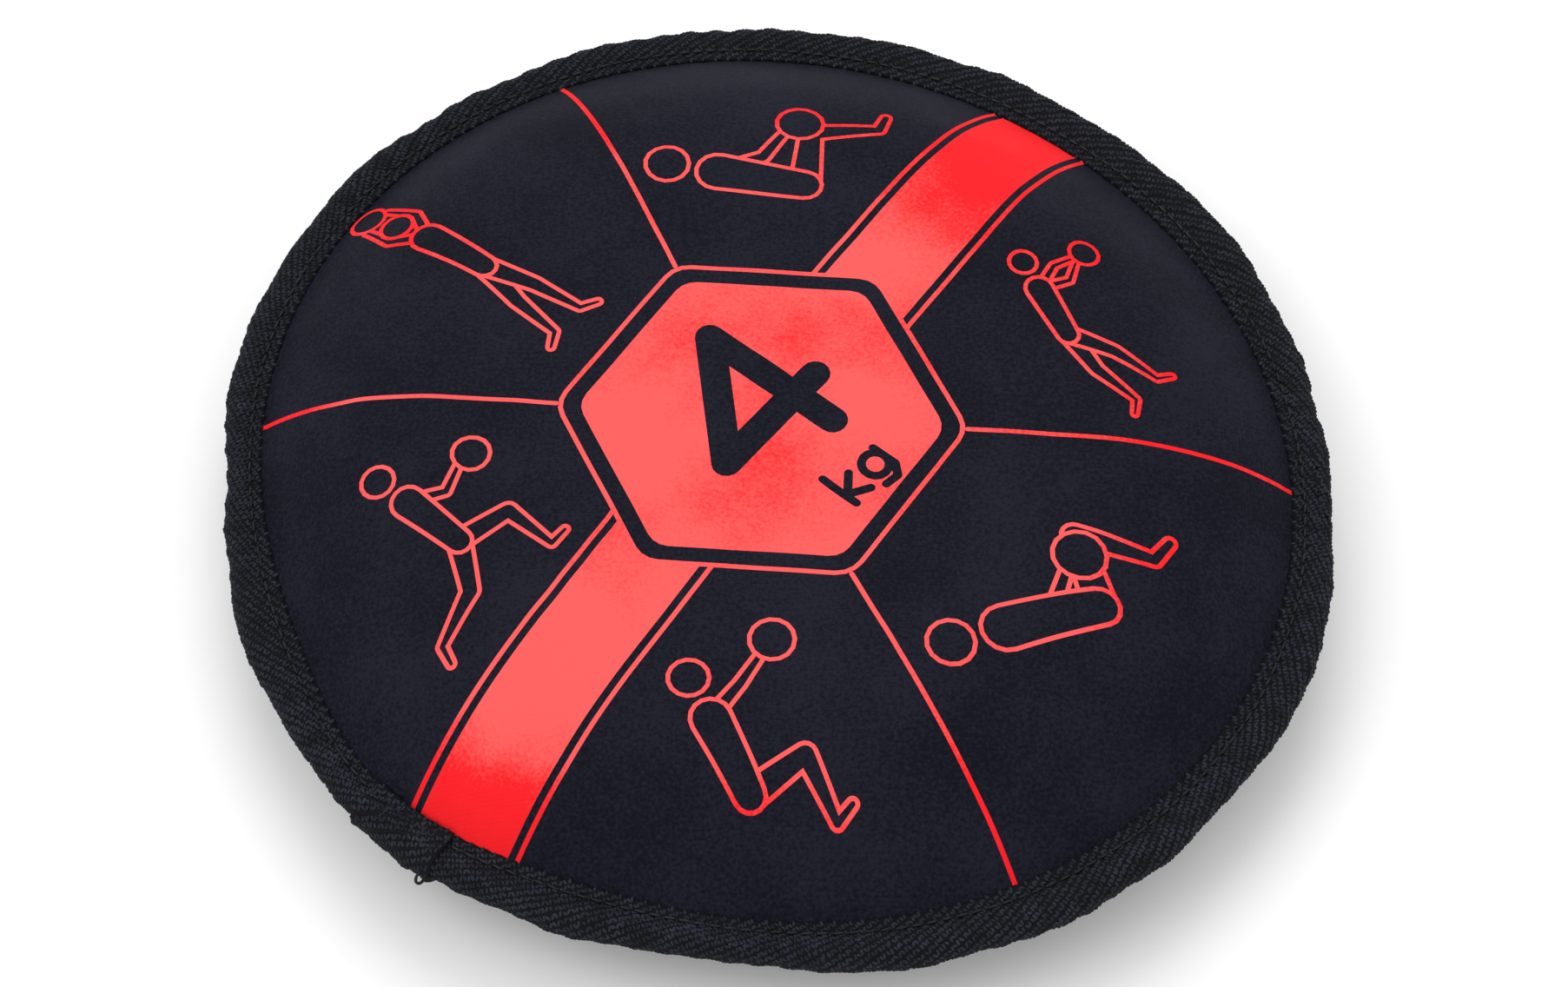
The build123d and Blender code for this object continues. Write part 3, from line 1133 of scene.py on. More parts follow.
@dataclass
class Cover:
    """The two panels of the cover, each a face jersey, a sponge and a lining jersey."""

    finishes: Finishes
    rim: Rim
    edge_mm: float = 135.8
    jersey_mm: float = 0.4
    sponge_mm: float = 2.2
    grid_mm: float = 2.6
    edge_points: int = 360
    rows_within_mm: float = 118.0
    rings_mm: tuple[float, ...] = (120, 122, 124, 125.5, 126.6, 127.5, 128.3, 129.1, 130.5, 133)

    def __post_init__(self) -> None:
        """Work out the two outer faces from the CAD nodes' boxes."""
        top_low, top_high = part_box("top_face_jersey")
        bottom_low, bottom_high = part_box("bottom_face_jersey")
        flange_top = top_low.z / MM + self.jersey_mm
        flange_bottom = bottom_high.z / MM - self.jersey_mm
        top = Dome(1, top_high.z / MM, flange_top, CROWN_MM, 78.0, 75.0, FOOT_MM, self.edge_mm)
        bottom = Dome(-1, bottom_low.z / MM, flange_bottom, FLAT_MM, 86.0, 50.0, FOOT_MM, self.edge_mm)
        self.top = Face(top, self.rim, Filling().swell(top), tuck_mm=0.12)
        self.bottom = Face(bottom, self.rim, tuck_mm=0.2)

    def build(self) -> None:
        """Make both panels and declare their pieces."""
        sponge_top = self.jersey_mm
        sponge_under = self.jersey_mm + self.sponge_mm
        lining_under = sponge_under + self.jersey_mm
        face = declare(self._printed_face(), "printed_jersey", "top_face_jersey")
        for side, panel in (("top", self.top), ("bottom", self.bottom)):
            sponge = RoundLayer(panel, sponge_top, sponge_under).make(f"{side}_sponge", self.finishes.sponge)
            declare(sponge, "neoprene_sponge", f"{side}_neoprene_sponge")
            layer = RoundLayer(panel, sponge_under, lining_under)
            lining = layer.make(f"{side}_lining", self.finishes.lining)
            declare(lining, "lining_jersey", f"{side}_lining_jersey")
        under = RoundLayer(self.bottom, 0, self.jersey_mm, spokes=288, rings=64)
        under_face = under.make("bottom_face", self.finishes.black_jersey)
        declare(under_face, "black_jersey", "bottom_face_jersey")

    def _plan_points(self) -> list[Place]:
        """Points spread over the panel, in rows in the middle and in rings near the rim.

        Returns:
            The points in mm, seen from above.
        """
        points = []
        inner = self.rows_within_mm
        row_step = self.grid_mm * math.sqrt(3) / 2
        rows = int(inner / row_step)
        for row in range(-rows, rows + 1):
            y = row * row_step
            half = math.sqrt(inner**2 - y**2)
            shift = self.grid_mm / 2 * (row % 2)
            first = math.ceil((-half - shift) / self.grid_mm)
            last = math.floor((half - shift) / self.grid_mm)
            columns = np.arange(first, last + 1)
            points += [(float(c * self.grid_mm + shift), y) for c in columns]
        for ring in (*self.rings_mm, self.edge_mm):
            points += [
                (ring * math.cos(a), ring * math.sin(a))
                for a in np.arange(self.edge_points) * math.tau / self.edge_points
            ]
        return points

    def _printed_face(self) -> bpy.types.Object:
        """The top face jersey, cut along the edges of its print.

        Returns:
            The piece.
        """
        artwork = Artwork()
        artwork.draw()
        points = [Vector(p) for p in self._plan_points()]
        outlines = []
        for _, outline in artwork.shapes:
            outlines.append(list(range(len(points), len(points) + len(outline))))
            points += [Vector(place) for place in outline]
        cut = delaunay_2d_cdt(points, [], outlines, 0, 1e-4)
        plan = np.array([(p.x, p.y) for p in cut[0]])
        faces = [list(f) for f in cut[2]]
        inks = [artwork.shapes[max(f)][0].value if f else Ink.BLACK.value for f in cut[5]]
        radius = np.hypot(plan[:, 0], plan[:, 1])
        angle = np.arctan2(plan[:, 1], plan[:, 0])
        outer = self.top.outer(radius, angle)
        normals = self.top.normal(radius, angle)
        rim_points = np.flatnonzero(radius > self.edge_mm - 1e-3)
        rim_points = rim_points[np.argsort(angle[rim_points] % (math.tau - 1e-9))]
        back_radii = RoundLayer(self.top, 0, 0).radii()
        back = polar_points(lambda r, a: self.top.layer(r, a, self.jersey_mm), back_radii, len(rim_points))
        back_first = len(outer)
        faces += polar_faces(len(back_radii), len(rim_points), back_first, flip=True)
        last_ring = back_first + len(back) - len(rim_points)
        for spoke, corner in enumerate(rim_points.tolist()):
            ahead = (spoke + 1) % len(rim_points)
            faces.append([corner, last_ring + spoke, last_ring + ahead, int(rim_points[ahead])])
        materials = [self.finishes.black_jersey, self.finishes.red_jersey]
        piece = mesh_piece("top_face", np.concatenate([outer, back]), faces, materials)
        for polygon, ink in zip(piece.data.polygons, inks):
            polygon.material_index = ink
        down = polar_points(lambda r, a: -self.top.normal(r, a), back_radii, len(rim_points))
        piece.data.normals_split_custom_set_from_vertices(np.concatenate([normals, down]).tolist())
        return piece


# ------------------------------------------------------------------ yarns and stitches


@dataclass(frozen=True)
class YarnSize:
    """Size of one short piece of yarn that shows on the surface, and how uneven such pieces are."""

    length_mm: float
    width_mm: float
    height_mm: float
    uneven: float = 0.12
    sides: int = 5
    rings: int = 3


class YarnLayer:
    """A Geometry Nodes tree that lays a short piece of yarn on every point of a mesh.

    Each point carries the directions that the yarn runs in and that it faces, as attributes.
    """

    ALONG = "yarn_along"
    FACING = "yarn_facing"

    def __init__(self) -> None:
        """Build the tree with its named inputs."""
        self.tree = bpy.data.node_groups.new("yarn_layer", "GeometryNodeTree")
        self.keys: dict[str, str] = {}
        for name, kind in (
            ("Points", "Geometry"),
            ("Length", "Float"),
            ("Width", "Float"),
            ("Height", "Float"),
            ("Unevenness", "Float"),
            ("Sides", "Int"),
            ("Rings", "Int"),
            ("Seed", "Int"),
            ("Material", "Material"),
        ):
            item = self.tree.interface.new_socket(name, in_out="INPUT", socket_type=f"NodeSocket{kind}")
            self.keys[name] = item.identifier
        self.tree.interface.new_socket("Yarns", in_out="OUTPUT", socket_type="NodeSocketGeometry")
        self._wire()

    def _wire(self) -> None:
        """Join the tree's nodes."""
        tree = self.tree
        given = {s.name: s for s in add_node(tree, "NodeGroupInput").outputs if s.name}
        ball_inputs = {"Segments": given["Sides"], "Rings": given["Rings"], "Radius": 0.5}
        ball = add_node(tree, "GeometryNodeMeshUVSphere", ball_inputs)
        attribute = "GeometryNodeInputNamedAttribute"
        facing = add_node(tree, attribute, {"Name": self.FACING}, data_type="FLOAT_VECTOR")
        along = add_node(tree, attribute, {"Name": self.ALONG}, data_type="FLOAT_VECTOR")
        # The poles of the ball lie along the yarn
        axes = {
            "Primary Axis": socket_of(along.outputs, "Attribute"),
            "Secondary Axis": socket_of(facing.outputs, "Attribute"),
        }
        turn = add_node(tree, "FunctionNodeAxesToRotation", axes, primary_axis="Z", secondary_axis="Y")
        uneven = {"Value": 1.0, "Value_001": given["Unevenness"]}
        low = add_node(tree, "ShaderNodeMath", uneven, operation="SUBTRACT")
        high = add_node(tree, "ShaderNodeMath", uneven, operation="ADD")
        chance_inputs = {"Min_001": low.outputs[0], "Max_001": high.outputs[0], "Seed": given["Seed"]}
        chance = add_node(tree, "FunctionNodeRandomValue", chance_inputs, data_type="FLOAT")
        size_inputs = {"X": given["Width"], "Y": given["Height"], "Z": given["Length"]}
        size = add_node(tree, "ShaderNodeCombineXYZ", size_inputs)
        scaled_inputs = {"Vector": size.outputs[0], "Scale": socket_of(chance.outputs, "Value_001")}
        scaled = add_node(tree, "ShaderNodeVectorMath", scaled_inputs, operation="SCALE")
        laid = add_node(
            tree,
            "GeometryNodeInstanceOnPoints",
            {
                "Points": given["Points"],
                "Instance": ball.outputs["Mesh"],
                "Rotation": turn.outputs[0],
                "Scale": scaled.outputs[0],
            },
        )
        real = add_node(tree, "GeometryNodeRealizeInstances", {"Geometry": laid.outputs[0]})
        smooth = add_node(tree, "GeometryNodeSetShadeSmooth", {"Geometry": real.outputs[0]})
        dressed_inputs = {"Geometry": smooth.outputs[0], "Material": given["Material"]}
        dressed = add_node(tree, "GeometryNodeSetMaterial", dressed_inputs)
        exit_node = add_node(tree, "NodeGroupOutput")
        tree.links.new(dressed.outputs[0], exit_node.inputs[0])

    def lay(
        self,
        name: str,
        points_mm: Array,
        along: Array,
        facing: Array,
        size: YarnSize,
        material: bpy.types.Material,
    ) -> bpy.types.Object:
        """Lay yarn on points.

        Args:
            name: the piece's name.
            points_mm: where the middle of each piece of yarn is.
            along: the direction that each one runs in.
            facing: the direction that each one faces.
            size: how large they are.
            material: their material.

        Returns:
            One plain mesh piece with all the yarn.
        """
        carrier = mesh_piece(f"{name}_points", points_mm, [], [])
        for key, values in ((self.ALONG, along), (self.FACING, facing)):
            layer = carrier.data.attributes.new(key, "FLOAT_VECTOR", "POINT")
            layer.data.foreach_set("vector", np.ascontiguousarray(values, np.float32).ravel())
        modifier = carrier.modifiers.new("yarn", "NODES")
        modifier.node_group = self.tree
        settings = {
            "Length": size.length_mm * MM,
            "Width": size.width_mm * MM,
            "Height": size.height_mm * MM,
            "Unevenness": size.uneven,
            "Sides": size.sides,
            "Rings": size.rings,
            "Seed": len(name),
            "Material": material,
        }
        for key, value in settings.items():
            modifier[self.keys[key]] = value
        graph = bpy.context.evaluated_depsgraph_get()
        graph.update()
        mesh = bpy.data.meshes.new_from_object(carrier.evaluated_get(graph))
        mesh.name = name
        bpy.data.objects.remove(carrier)
        return link(bpy.data.objects.new(name, mesh))


STITCH = YarnSize(3.0, 0.8, 0.62, uneven=0.06, sides=8, rings=5)
FINE_STITCH = YarnSize(2.4, 0.5, 0.45, uneven=0.05, sides=6, rings=4)
TACK = YarnSize(1.6, 0.6, 0.6, uneven=0.1, sides=6, rings=4)
TAPE_YARN = YarnSize(1.6, 0.95, 0.62, uneven=0.14)


@dataclass
class StitchRow:
    """A row of stitches round the disc, or along part of a turn, at one radius and height."""

    radius_mm: float
    height_mm: float
    pitch_mm: float
    size: YarnSize
    start_deg: float = 0.0
    sweep_deg: float = 360.0

    def make(
        self, name: str, yarns: YarnLayer, material: bpy.types.Material, rim: Rim | None = None
    ) -> bpy.types.Object:
        """Make the row as one piece, following the rim if there is one.

        Args:
            name: the piece's name.
            yarns: what lays the stitches.
            material: their material.
            rim: the rim that the row follows.

        Returns:
            The piece.
        """
        sweep = math.radians(self.sweep_deg)
        count = round(self.radius_mm * sweep / self.pitch_mm)
        angle = math.radians(self.start_deg) + (np.arange(count) + 0.5) * sweep / count
        radius = np.full(count, self.radius_mm)
        reach = rim.pull(radius, angle) if rim else radius
        height = np.full(count, self.height_mm)
        points = round_points(reach, angle, height)
        along = np.stack([-np.sin(angle), np.cos(angle), np.zeros(count)], axis=-1)
        up = np.tile((0.0, 0.0, 1.0), (count, 1))
        return yarns.lay(name, points, along, up, self.size, material)


# ------------------------------------------------------------------ binding


@dataclass
class Binding:
    """The twill tape folded over the rim, its lap joint, its surface yarns and its stitching.

    Its section is two legs joined by a half circle. A place across it is a distance in mm along
    the section's outer side, from the inner edge of the top leg to that of the bottom leg. The real
    twill has ribs under a millimetre apart, too fine to show, so its ribs and yarns are drawn two to
    four times as coarse. The tape's outer side never sinks by as much as its thickness.
    """

    finishes: Finishes
    yarns: YarnLayer
    rim: Rim
    middle_mm: float = 24.0
    thickness_mm: float = 1.2
    round_mm: float = 4.2
    lap_deg: float = 229.0
    lap_sweep_deg: float = 10.0
    loop_deg: float = 233.5
    loop_mm: tuple[Joint, ...] = (
        (-1.8, -0.4, 1.2),
        (0.6, -0.9, 1.4),
        (2.4, -0.2, 1.0),
        (2.2, 0.9, 0.5),
        (0.6, 0.9, 0.2),
        (-1.8, 0.5, 0.2),
    )
    loop_thread_mm: float = 0.38
    stitch_ring_mm: float = 131.0
    stitch_pitch_mm: float = 3.6
    stations: int = 1320
    lap_stations: int = 40
    leg_points: int = 9
    fold_points: int = 17
    rib_mm: float = 4.2
    rib_slope_deg: float = 32.0
    rib_height_mm: float = 0.12
    rib_slant: float = 0.6
    rib_reach_mm: float = 2.0
    leg_sink_mm: float = 0.42
    leg_reach_mm: tuple[float, float] = (-1.0, 3.4)
    groove_mm: float = 0.2
    groove_reach_mm: float = 0.9
    dip_mm: float = 0.3
    dip_reach_mm: float = 1.0
    lip_mm: float = 0.2
    lip_reach_mm: float = 1.5
    puff: float = 0.6
    puff_reach_mm: float = 5.0
    pucker_mm: float = 0.16
    yarn_rib_mm: float = 1.8
    yarn_ring_mm: float = 137.0
    bead_mm: float = 1.0
    yarn_leans_deg: tuple[float, float] = (62.0, 112.0)
    yarn_stray_deg: float = 9.0
    yarn_slip_mm: float = 0.07
    yarn_slip_rad: float = 0.0009
    yarn_edge_mm: float = 0.3
    yarn_start_mm: float = 0.4
    seam_ring_mm: float = 134.0
    stitch_off_mm: float = 4.05
    seam_off_mm: float = 3.05
    tack_off_mm: float = 5.0
    tack_ring_mm: float = 133.0
    tack_span_mm: tuple[float, float] = (0.6, 7.2)
    tack_pitch_mm: float = 1.3
    tack_start_mm: float = 2.2
    tack_lean: float = 0.2
    seed: int = 31

    @property
    def leg_mm(self) -> float:
        """Length of one leg, from its inner edge to the start of the half circle."""
        return self.rim.edge_mm - self.round_mm - self.rim.inner_mm

    @property
    def girth_mm(self) -> float:
        """Length of the section's outer side."""
        return 2 * self.leg_mm + math.pi * self.round_mm

    def _section(self, across: Array, depth_mm: Array | float) -> tuple[Array, Array]:
        """Radius and height of the plain section at places across it and depths under its outer side.

        Args:
            across: places across the tape in mm.
            depth_mm: depths under its outer side.

        Returns:
            Radii, and heights over the middle, in mm.
        """
        turn = np.clip((across - self.leg_mm) / self.round_mm, 0, math.pi)
        over = np.minimum(across, self.leg_mm) + np.clip(self.girth_mm - across, 0, self.leg_mm) - self.leg_mm
        bend = self.round_mm - depth_mm
        radius = self.rim.inner_mm + self.leg_mm + bend * np.sin(turn)
        on_leg = self.rim.inner_mm + np.where(turn > 0, over, across)
        radius = np.where((turn > 0) & (turn < math.pi), radius, on_leg)
        return radius, bend * np.cos(turn)

    def _relief(self, across: Array, angle: Array) -> Array:
        """How far the outer side stands off its plain section: swells, ribs and dips at the stitches.

        Args:
            across: places across the tape in mm.
            angle: angles round the disc.

        Returns:
            How far it stands off, in mm.
        """
        edge = np.minimum(across, self.girth_mm - across)
        ring = angle * self.stitch_ring_mm
        from_stitch = edge - (self.stitch_ring_mm - self.rim.inner_mm)
        stitch = math.tau * ring / self.stitch_pitch_mm
        groove = self.groove_mm * np.exp(-((from_stitch / self.groove_reach_mm) ** 2))
        leg = -self.leg_sink_mm * (1 - rise(from_stitch, *self.leg_reach_mm)) - groove
        rib = np.sin(math.tau * (self.rib_slant * ring + across) / self.rib_mm)
        ribs = self.rib_height_mm * rib * rise(from_stitch, 0.0, self.rib_reach_mm)
        dip_along = 0.5 + 0.5 * np.cos(stitch)
        dips = -self.dip_mm * dip_along**2 * np.exp(-((from_stitch / self.dip_reach_mm) ** 2))
        lip = self.lip_mm * np.sin(stitch + 2 * np.sin(5 * angle))
        lip = lip * rise(-from_stitch, 0, self.lip_reach_mm)
        pucker = self.pucker_mm * np.sin(stitch / 2 + np.sin(7 * angle))
        puff = 0.4 * np.sin(13 * angle + 1.0) + 0.3 * np.sin(29 * angle + across / 9)
        swell = (pucker + self.puff * puff) * rise(from_stitch, 0.0, self.puff_reach_mm)
        return leg + ribs + dips + lip + swell

    def place(
        self, across: Array, angle: Array, depth_mm: Array | float = 0.0, lift_mm: float = 0.0
    ) -> Array:
        """Points of the tape.

        Args:
            across: places across the tape in mm.
            angle: angles round the disc.
            depth_mm: how far under its outer side.
            lift_mm: how far a second thickness lies above the first.

        Returns:
            Points in mm.
        """
        stand = (self._relief(across, angle) + lift_mm) * np.where(np.asarray(depth_mm) > 0, 0.0, 1.0)
        radius, height = self._section(across, depth_mm - stand)
        reach = self.rim.pull(radius, angle)
        return round_points(reach, angle, self.middle_mm + height)

    def _facing(self, across: Array, angle: Array) -> tuple[Array, Array, Array]:
        """Unit directions round the tape, across it and out of it.

        Args:
            across: places across the tape in mm.
            angle: angles round the disc.

        Returns:
            The three directions.
        """
        round_way = self.place(across, angle + 2e-4) - self.place(across, angle - 2e-4)
        cross_way = self.place(across + 0.05, angle) - self.place(across - 0.05, angle)
        out = np.cross(cross_way, round_way)
        return tuple(v / np.linalg.norm(v, axis=-1, keepdims=True) for v in (round_way, cross_way, out))

    def _sweep(self, angles: Array, lift_mm: float, closed: bool) -> tuple[Array, list]:
        """Vertices and faces of a length of tape.

        Args:
            angles: angles of its stations.
            lift_mm: how far it lies above the first thickness.
            closed: whether it runs all the way round.

        Returns:
            The vertices in mm and the faces.
        """
        outer_across = np.concatenate(
            [
                np.linspace(0, self.leg_mm, self.leg_points),
                np.linspace(self.leg_mm, self.girth_mm - self.leg_mm, self.fold_points)[1:-1],
                np.linspace(self.girth_mm - self.leg_mm, self.girth_mm, self.leg_points),
            ]
        )
        inner_across = outer_across[::-3]
        across = np.concatenate([outer_across, inner_across])
        depth = np.concatenate([np.zeros(len(outer_across)), np.full(len(inner_across), self.thickness_mm)])
        grid_angle, grid_across = np.meshgrid(angles, across, indexing="ij")
        grid_depth = np.broadcast_to(depth, grid_across.shape)
        verts = self.place(grid_across, grid_angle, grid_depth, lift_mm)
        if lift_mm:
            low = self.place(grid_across, grid_angle, 0.0, 0.05)
            verts = np.where((grid_depth > 0)[..., None], low, verts)
        around = len(across)
        count = len(angles)
        faces = []
        for station in range(count if closed else count - 1):
            ahead = (station + 1) % count
            faces += edge_faces(station * around, ahead * around, around)
        if not closed:
            faces.append(list(range(around)))
            faces.append([(count - 1) * around + c for c in reversed(range(around))])
        return verts.reshape(-1, 3), faces

    def _tape(self) -> bpy.types.Object:
        """The folded tape all the way round, with the lap as a second thickness.

        Returns:
            The piece.
        """
        ring, ring_faces = self._sweep(np.arange(self.stations) * math.tau / self.stations, 0.0, True)
        start = math.radians(self.lap_deg - self.lap_sweep_deg / 2)
        lap_angles = start + np.linspace(0, math.radians(self.lap_sweep_deg), self.lap_stations)
        lap, lap_faces = self._sweep(lap_angles, self.thickness_mm, False)
        lap_faces = [[len(ring) + corner for corner in face] for face in lap_faces]
        verts = np.concatenate([ring, lap])
        return mesh_piece("tape", verts, ring_faces + lap_faces, [self.finishes.twill_ground])

    def _surface_yarns(self, name: str, low_mm: float, high_mm: float) -> bpy.types.Object:
        """The yarns that show on part of the tape's width, in slanting ribs.

        Args:
            name: the piece's name.
            low_mm: where the part starts, across the tape.
            high_mm: where it ends.

        Returns:
            The piece.
        """
        chance = np.random.default_rng(self.seed)
        slope = math.radians(self.rib_slope_deg)
        row_step = self.bead_mm * math.sin(slope)
        rows = np.arange(math.ceil(low_mm / row_step), math.floor(high_mm / row_step))
        columns = round(math.tau * self.yarn_ring_mm * math.sin(slope) / self.yarn_rib_mm)
        column, row = np.meshgrid(np.arange(columns), rows, indexing="ij")
        along_rib = -row * self.bead_mm * math.cos(slope) / self.yarn_ring_mm
        angle = (column * math.tau / columns + along_rib).ravel()
        angle = angle + self.yarn_slip_rad * chance.standard_normal(len(angle))
        across = (row * row_step + self.yarn_slip_mm * chance.standard_normal(row.shape)).ravel()
        across = np.clip(across, self.yarn_edge_mm, self.girth_mm - self.yarn_edge_mm)
        round_way, cross_way, out = self._facing(across, angle)
        lap_start = self.lap_deg - self.lap_sweep_deg / 2
        on_lap = ((np.degrees(angle) - lap_start) % 360) < self.lap_sweep_deg
        points = self.place(across, angle) + out * np.where(on_lap, self.thickness_mm, 0.0)[:, None]
        chevron = np.where(row.ravel() % 2 < 1, *self.yarn_leans_deg)
        stray = self.yarn_stray_deg * chance.standard_normal(len(angle))
        lean = math.pi - slope + np.radians(chevron + stray)
        along = round_way * np.cos(lean)[:, None] + cross_way * np.sin(lean)[:, None]
        return self.yarns.lay(name, points, along, out, TAPE_YARN, self.finishes.twill_yarn)

    def _thread_loop(self) -> bpy.types.Object:
        """The end of the closing thread, a tiny loop that stands off the lap joint.

        Returns:
            The loop.
        """
        curve = bpy.data.curves.new("loop", "CURVE")
        curve.dimensions = "3D"
        curve.bevel_depth = self.loop_thread_mm * MM
        curve.bevel_resolution = 2
        spline = curve.splines.new("NURBS")
        spline.points.add(len(self.loop_mm) - 1)
        turn = math.radians(self.loop_deg)
        out = Vector((math.cos(turn), math.sin(turn), 0))
        side = Vector((-out.y, out.x, 0))
        edge = float(self.rim.pull(np.float64(self.rim.edge_mm), np.float64(turn))) + self.thickness_mm
        for point, (away, along, up) in zip(spline.points, self.loop_mm):
            place = out * (edge + away) + side * along + Vector((0, 0, self.middle_mm + up))
            point.co = (*(place * MM), 1.0)
        spline.order_u = 3
        spline.use_endpoint_u = True
        curve.materials.append(self.finishes.black_thread)
        maker = link(bpy.data.objects.new("loop", curve))
        mesh = bpy.data.meshes.new_from_object(maker.evaluated_get(bpy.context.evaluated_depsgraph_get()))
        bpy.data.objects.remove(maker)
        return link(bpy.data.objects.new("tack_loop", mesh))

    def _tacks(self) -> bpy.types.Object:
        """Two bars of small stitches across the lap joint.

        Returns:
            The piece.
        """
        points = []
        alongs = []
        ups = []
        turn = math.radians(self.lap_deg)
        out = np.array((math.cos(turn), math.sin(turn), 0.0))
        side = np.array((-out[1], out[0], 0.0))
        for end in (-self.tack_off_mm, self.tack_off_mm):
            for away in np.arange(*self.tack_span_mm, self.tack_pitch_mm):
                angle = turn + end / self.tack_ring_mm
                across = np.array([away + self.tack_start_mm])
                points.append(self.place(across, np.array([angle]), 0.0, self.thickness_mm)[0])
                alongs.append(out + self.tack_lean * side)
                ups.append((0, 0, 1.0))
        rows = [np.array(values) for values in (points, alongs, ups)]
        return self.yarns.lay("lap_tacks", *rows, TACK, self.finishes.black_thread)

    def build(self) -> None:
        declare(self._tape(), "twill_tape", "binding_tape")
        half = self.girth_mm / 2
        low_edge = self.girth_mm - self.yarn_edge_mm
        parts = (("tape_yarns_top", self.yarn_start_mm, half), ("tape_yarns_bottom", half, low_edge))
        for name, low, high in parts:
            declare(self._surface_yarns(name, low, high), "twill_tape")
        thread = self.finishes.black_thread
        ring = self.stitch_ring_mm
        rows = (
            ("binding_needle", ring, self.stitch_off_mm, STITCH),
            ("binding_bobbin", ring, -self.stitch_off_mm, STITCH),
            ("panel_seam_needle", self.seam_ring_mm, self.seam_off_mm, FINE_STITCH),
            ("panel_seam_bobbin", self.seam_ring_mm, -self.seam_off_mm, FINE_STITCH),
        )
        for name, radius, off_middle, size in rows:
            row = StitchRow(radius, self.middle_mm + off_middle, self.stitch_pitch_mm, size)
            declare(row.make(name, self.yarns, thread, self.rim), "black_thread", f"{name}_thread")
        declare(self._tacks(), "black_thread", "lap_tack_thread")
        declare(self._thread_loop(), "black_thread")


# ------------------------------------------------------------------ inner bag


@dataclass
class InnerBag:
    """The sewn bag and the iron sand in it."""

    finishes: Finishes
    yarns: YarnLayer
    cloth_mm: float = 0.5
    seam_mm: float = 120.4
    closing_mm: float = 121.6
    pitch_mm: float = 2.8
    mouth_start_deg: float = 75.0
    mouth_sweep_deg: float = 35.0

    def build(self) -> None:
        """Make the bag's two halves and its stitching, and dress the sand."""
        for side, name in ((1, "inner_bag_top"), (-1, "inner_bag_bottom")):
            low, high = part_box(name)
            edge = high.x / MM
            if side > 0:
                dome = Dome(1, high.z / MM, low.z / MM + self.cloth_mm, CROWN_MM, 78.0, 50.0, FOOT_MM, edge)
            else:
                dome = Dome(-1, low.z / MM, high.z / MM - self.cloth_mm, FLAT_MM, 82.0, 40.0, FOOT_MM, edge)
            half = RoundLayer(Face(dome), 0, self.cloth_mm, spokes=120, rings=36)
            piece = declare(half.make(f"{name}_cloth", self.finishes.bag_cloth), "bag_cloth", name)
        seam_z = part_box("inner_bag_top")[0].z / MM
        face = self.cloth_mm
        rows = (
            ("bag_seam_needle", self.seam_mm, face, 0.0, 360.0),
            ("bag_seam_bobbin", self.seam_mm, -face, 0.0, 360.0),
            ("bag_closing", self.closing_mm, face, self.mouth_start_deg, self.mouth_sweep_deg),
        )
        for name, radius, off_seam, start, sweep in rows:
            row = StitchRow(radius, seam_z + off_seam, self.pitch_mm, FINE_STITCH, start, sweep)
            declare(row.make(name, self.yarns, self.finishes.bag_thread), "bag_thread", f"{name}_thread")
        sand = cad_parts["iron_sand"]
        sand.data.materials.clear()
        sand.data.materials.append(self.finishes.iron_sand)


# ------------------------------------------------------------------ studio


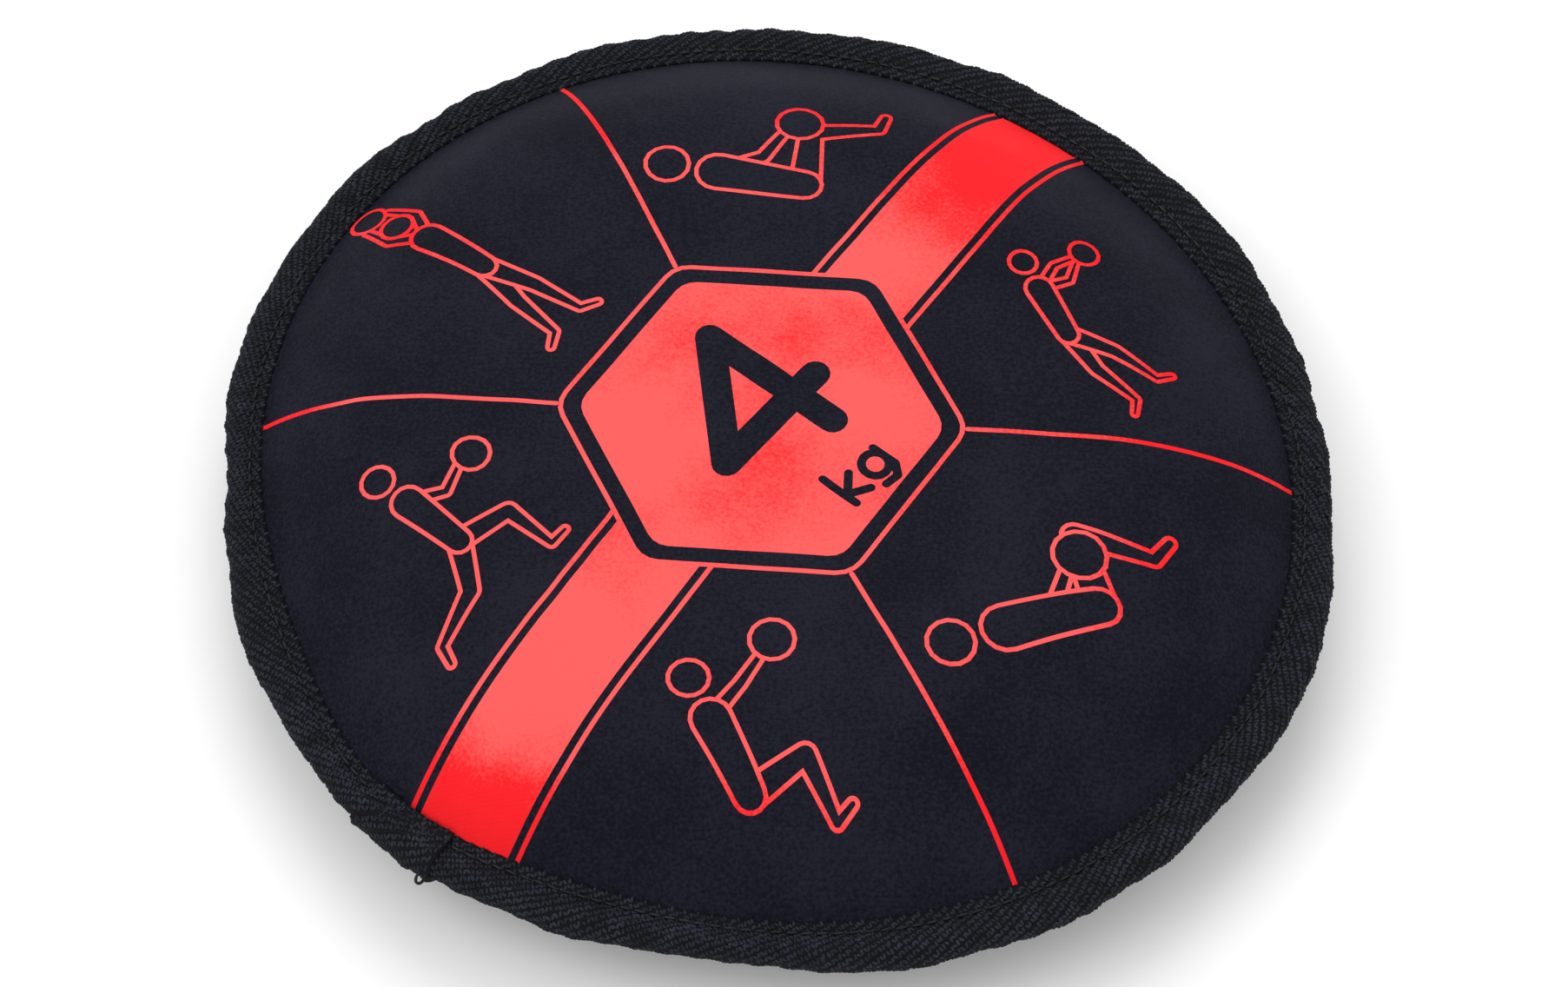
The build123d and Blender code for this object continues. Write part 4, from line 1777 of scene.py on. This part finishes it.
@dataclass
class Studio:
    """White floor, soft light and the camera."""

    lens_mm: float = 90.2
    distance: float = 0.98
    elevation_deg: float = 56.69
    roll_deg: float = -0.74
    shift: Place = (0.0063, -0.0158)
    floor_half: float = 6.0

    def build(self, target: Vector) -> None:
        """Set the floor, the light and the camera round a target.

        Args:
            target: what the lights and the camera look at.
        """
        self._floor()
        self._world()
        self._light("back_light", target, offset=(0.0, 1.5, 2.0), size=1.6, watts=14.0)
        self._light("key_light", target, offset=(-1.6, -0.4, 2.4), size=1.8, watts=12.0)
        self._camera(target)
        bpy.context.scene.view_settings.view_transform = "Standard"

    def _floor(self) -> None:
        """A plain white floor."""
        half = self.floor_half / MM
        corners = np.array([(-half, -half, 0), (half, -half, 0), (half, half, 0), (-half, half, 0)], float)
        material = bpy.data.materials.new("painted_studio_floor")
        material.use_nodes = True
        shader = material.node_tree.nodes["Principled BSDF"]
        shader.inputs["Base Color"].default_value = linear("#FEFEFE")
        shader.inputs["Roughness"].default_value = 0.9
        shader.inputs["Specular IOR Level"].default_value = 0.1
        mesh_piece("floor", corners, [[0, 1, 2, 3]], [material])

    def _world(self) -> None:
        """Even white light from all round."""
        world = bpy.data.worlds.new("white_studio")
        world.use_nodes = True
        background = world.node_tree.nodes["Background"]
        background.inputs["Color"].default_value = linear("#FFFFFF")
        background.inputs["Strength"].default_value = 0.92
        bpy.context.scene.world = world

    def _light(self, name: str, target: Vector, offset: tuple, size: float, watts: float) -> None:
        """A large soft light that looks at the target.

        Args:
            name: the light's name.
            target: what it looks at.
            offset: where it stands from there.
            size: its width.
            watts: its power.
        """
        light = bpy.data.lights.new(name, "AREA")
        light.shape = "DISK"
        light.size = size
        light.energy = watts
        lamp = link(bpy.data.objects.new(name, light))
        lamp.location = target + Vector(offset)
        lamp.rotation_euler = (target - lamp.location).to_track_quat("-Z", "Y").to_euler()

    def _camera(self, target: Vector) -> None:
        """The camera, level but for a slight roll.

        Args:
            target: what it looks at.
        """
        elevation = math.radians(self.elevation_deg)
        place = target + self.distance * Vector((0, -math.cos(elevation), math.sin(elevation)))
        data = bpy.data.cameras.new("camera")
        data.lens = self.lens_mm
        data.sensor_width = 36.0
        data.shift_x, data.shift_y = self.shift
        camera = link(bpy.data.objects.new("camera", data))
        look = (target - place).to_track_quat("-Z", "Y").to_matrix().to_4x4()
        roll = Matrix.Rotation(math.radians(self.roll_deg), 4, "Z")
        camera.matrix_world = Matrix.Translation(place) @ look @ roll
        bpy.context.scene.camera = camera


def main() -> None:
    """Build the disc from the cover outwards, then the studio."""
    finishes = Finishes()
    yarns = YarnLayer()
    tape_low, tape_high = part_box("binding_tape")
    rim = Rim(edge_mm=140.0)
    middle = (tape_low.z + tape_high.z) / 2
    Cover(finishes, rim).build()
    Binding(finishes, yarns, rim, middle_mm=middle / MM).build()
    InnerBag(finishes, yarns).build()
    Studio().build(Vector((0, 0, middle)))


if __name__ == "__main__":
    logging.basicConfig(level=logging.INFO, format="%(name)s: %(message)s")
    main()
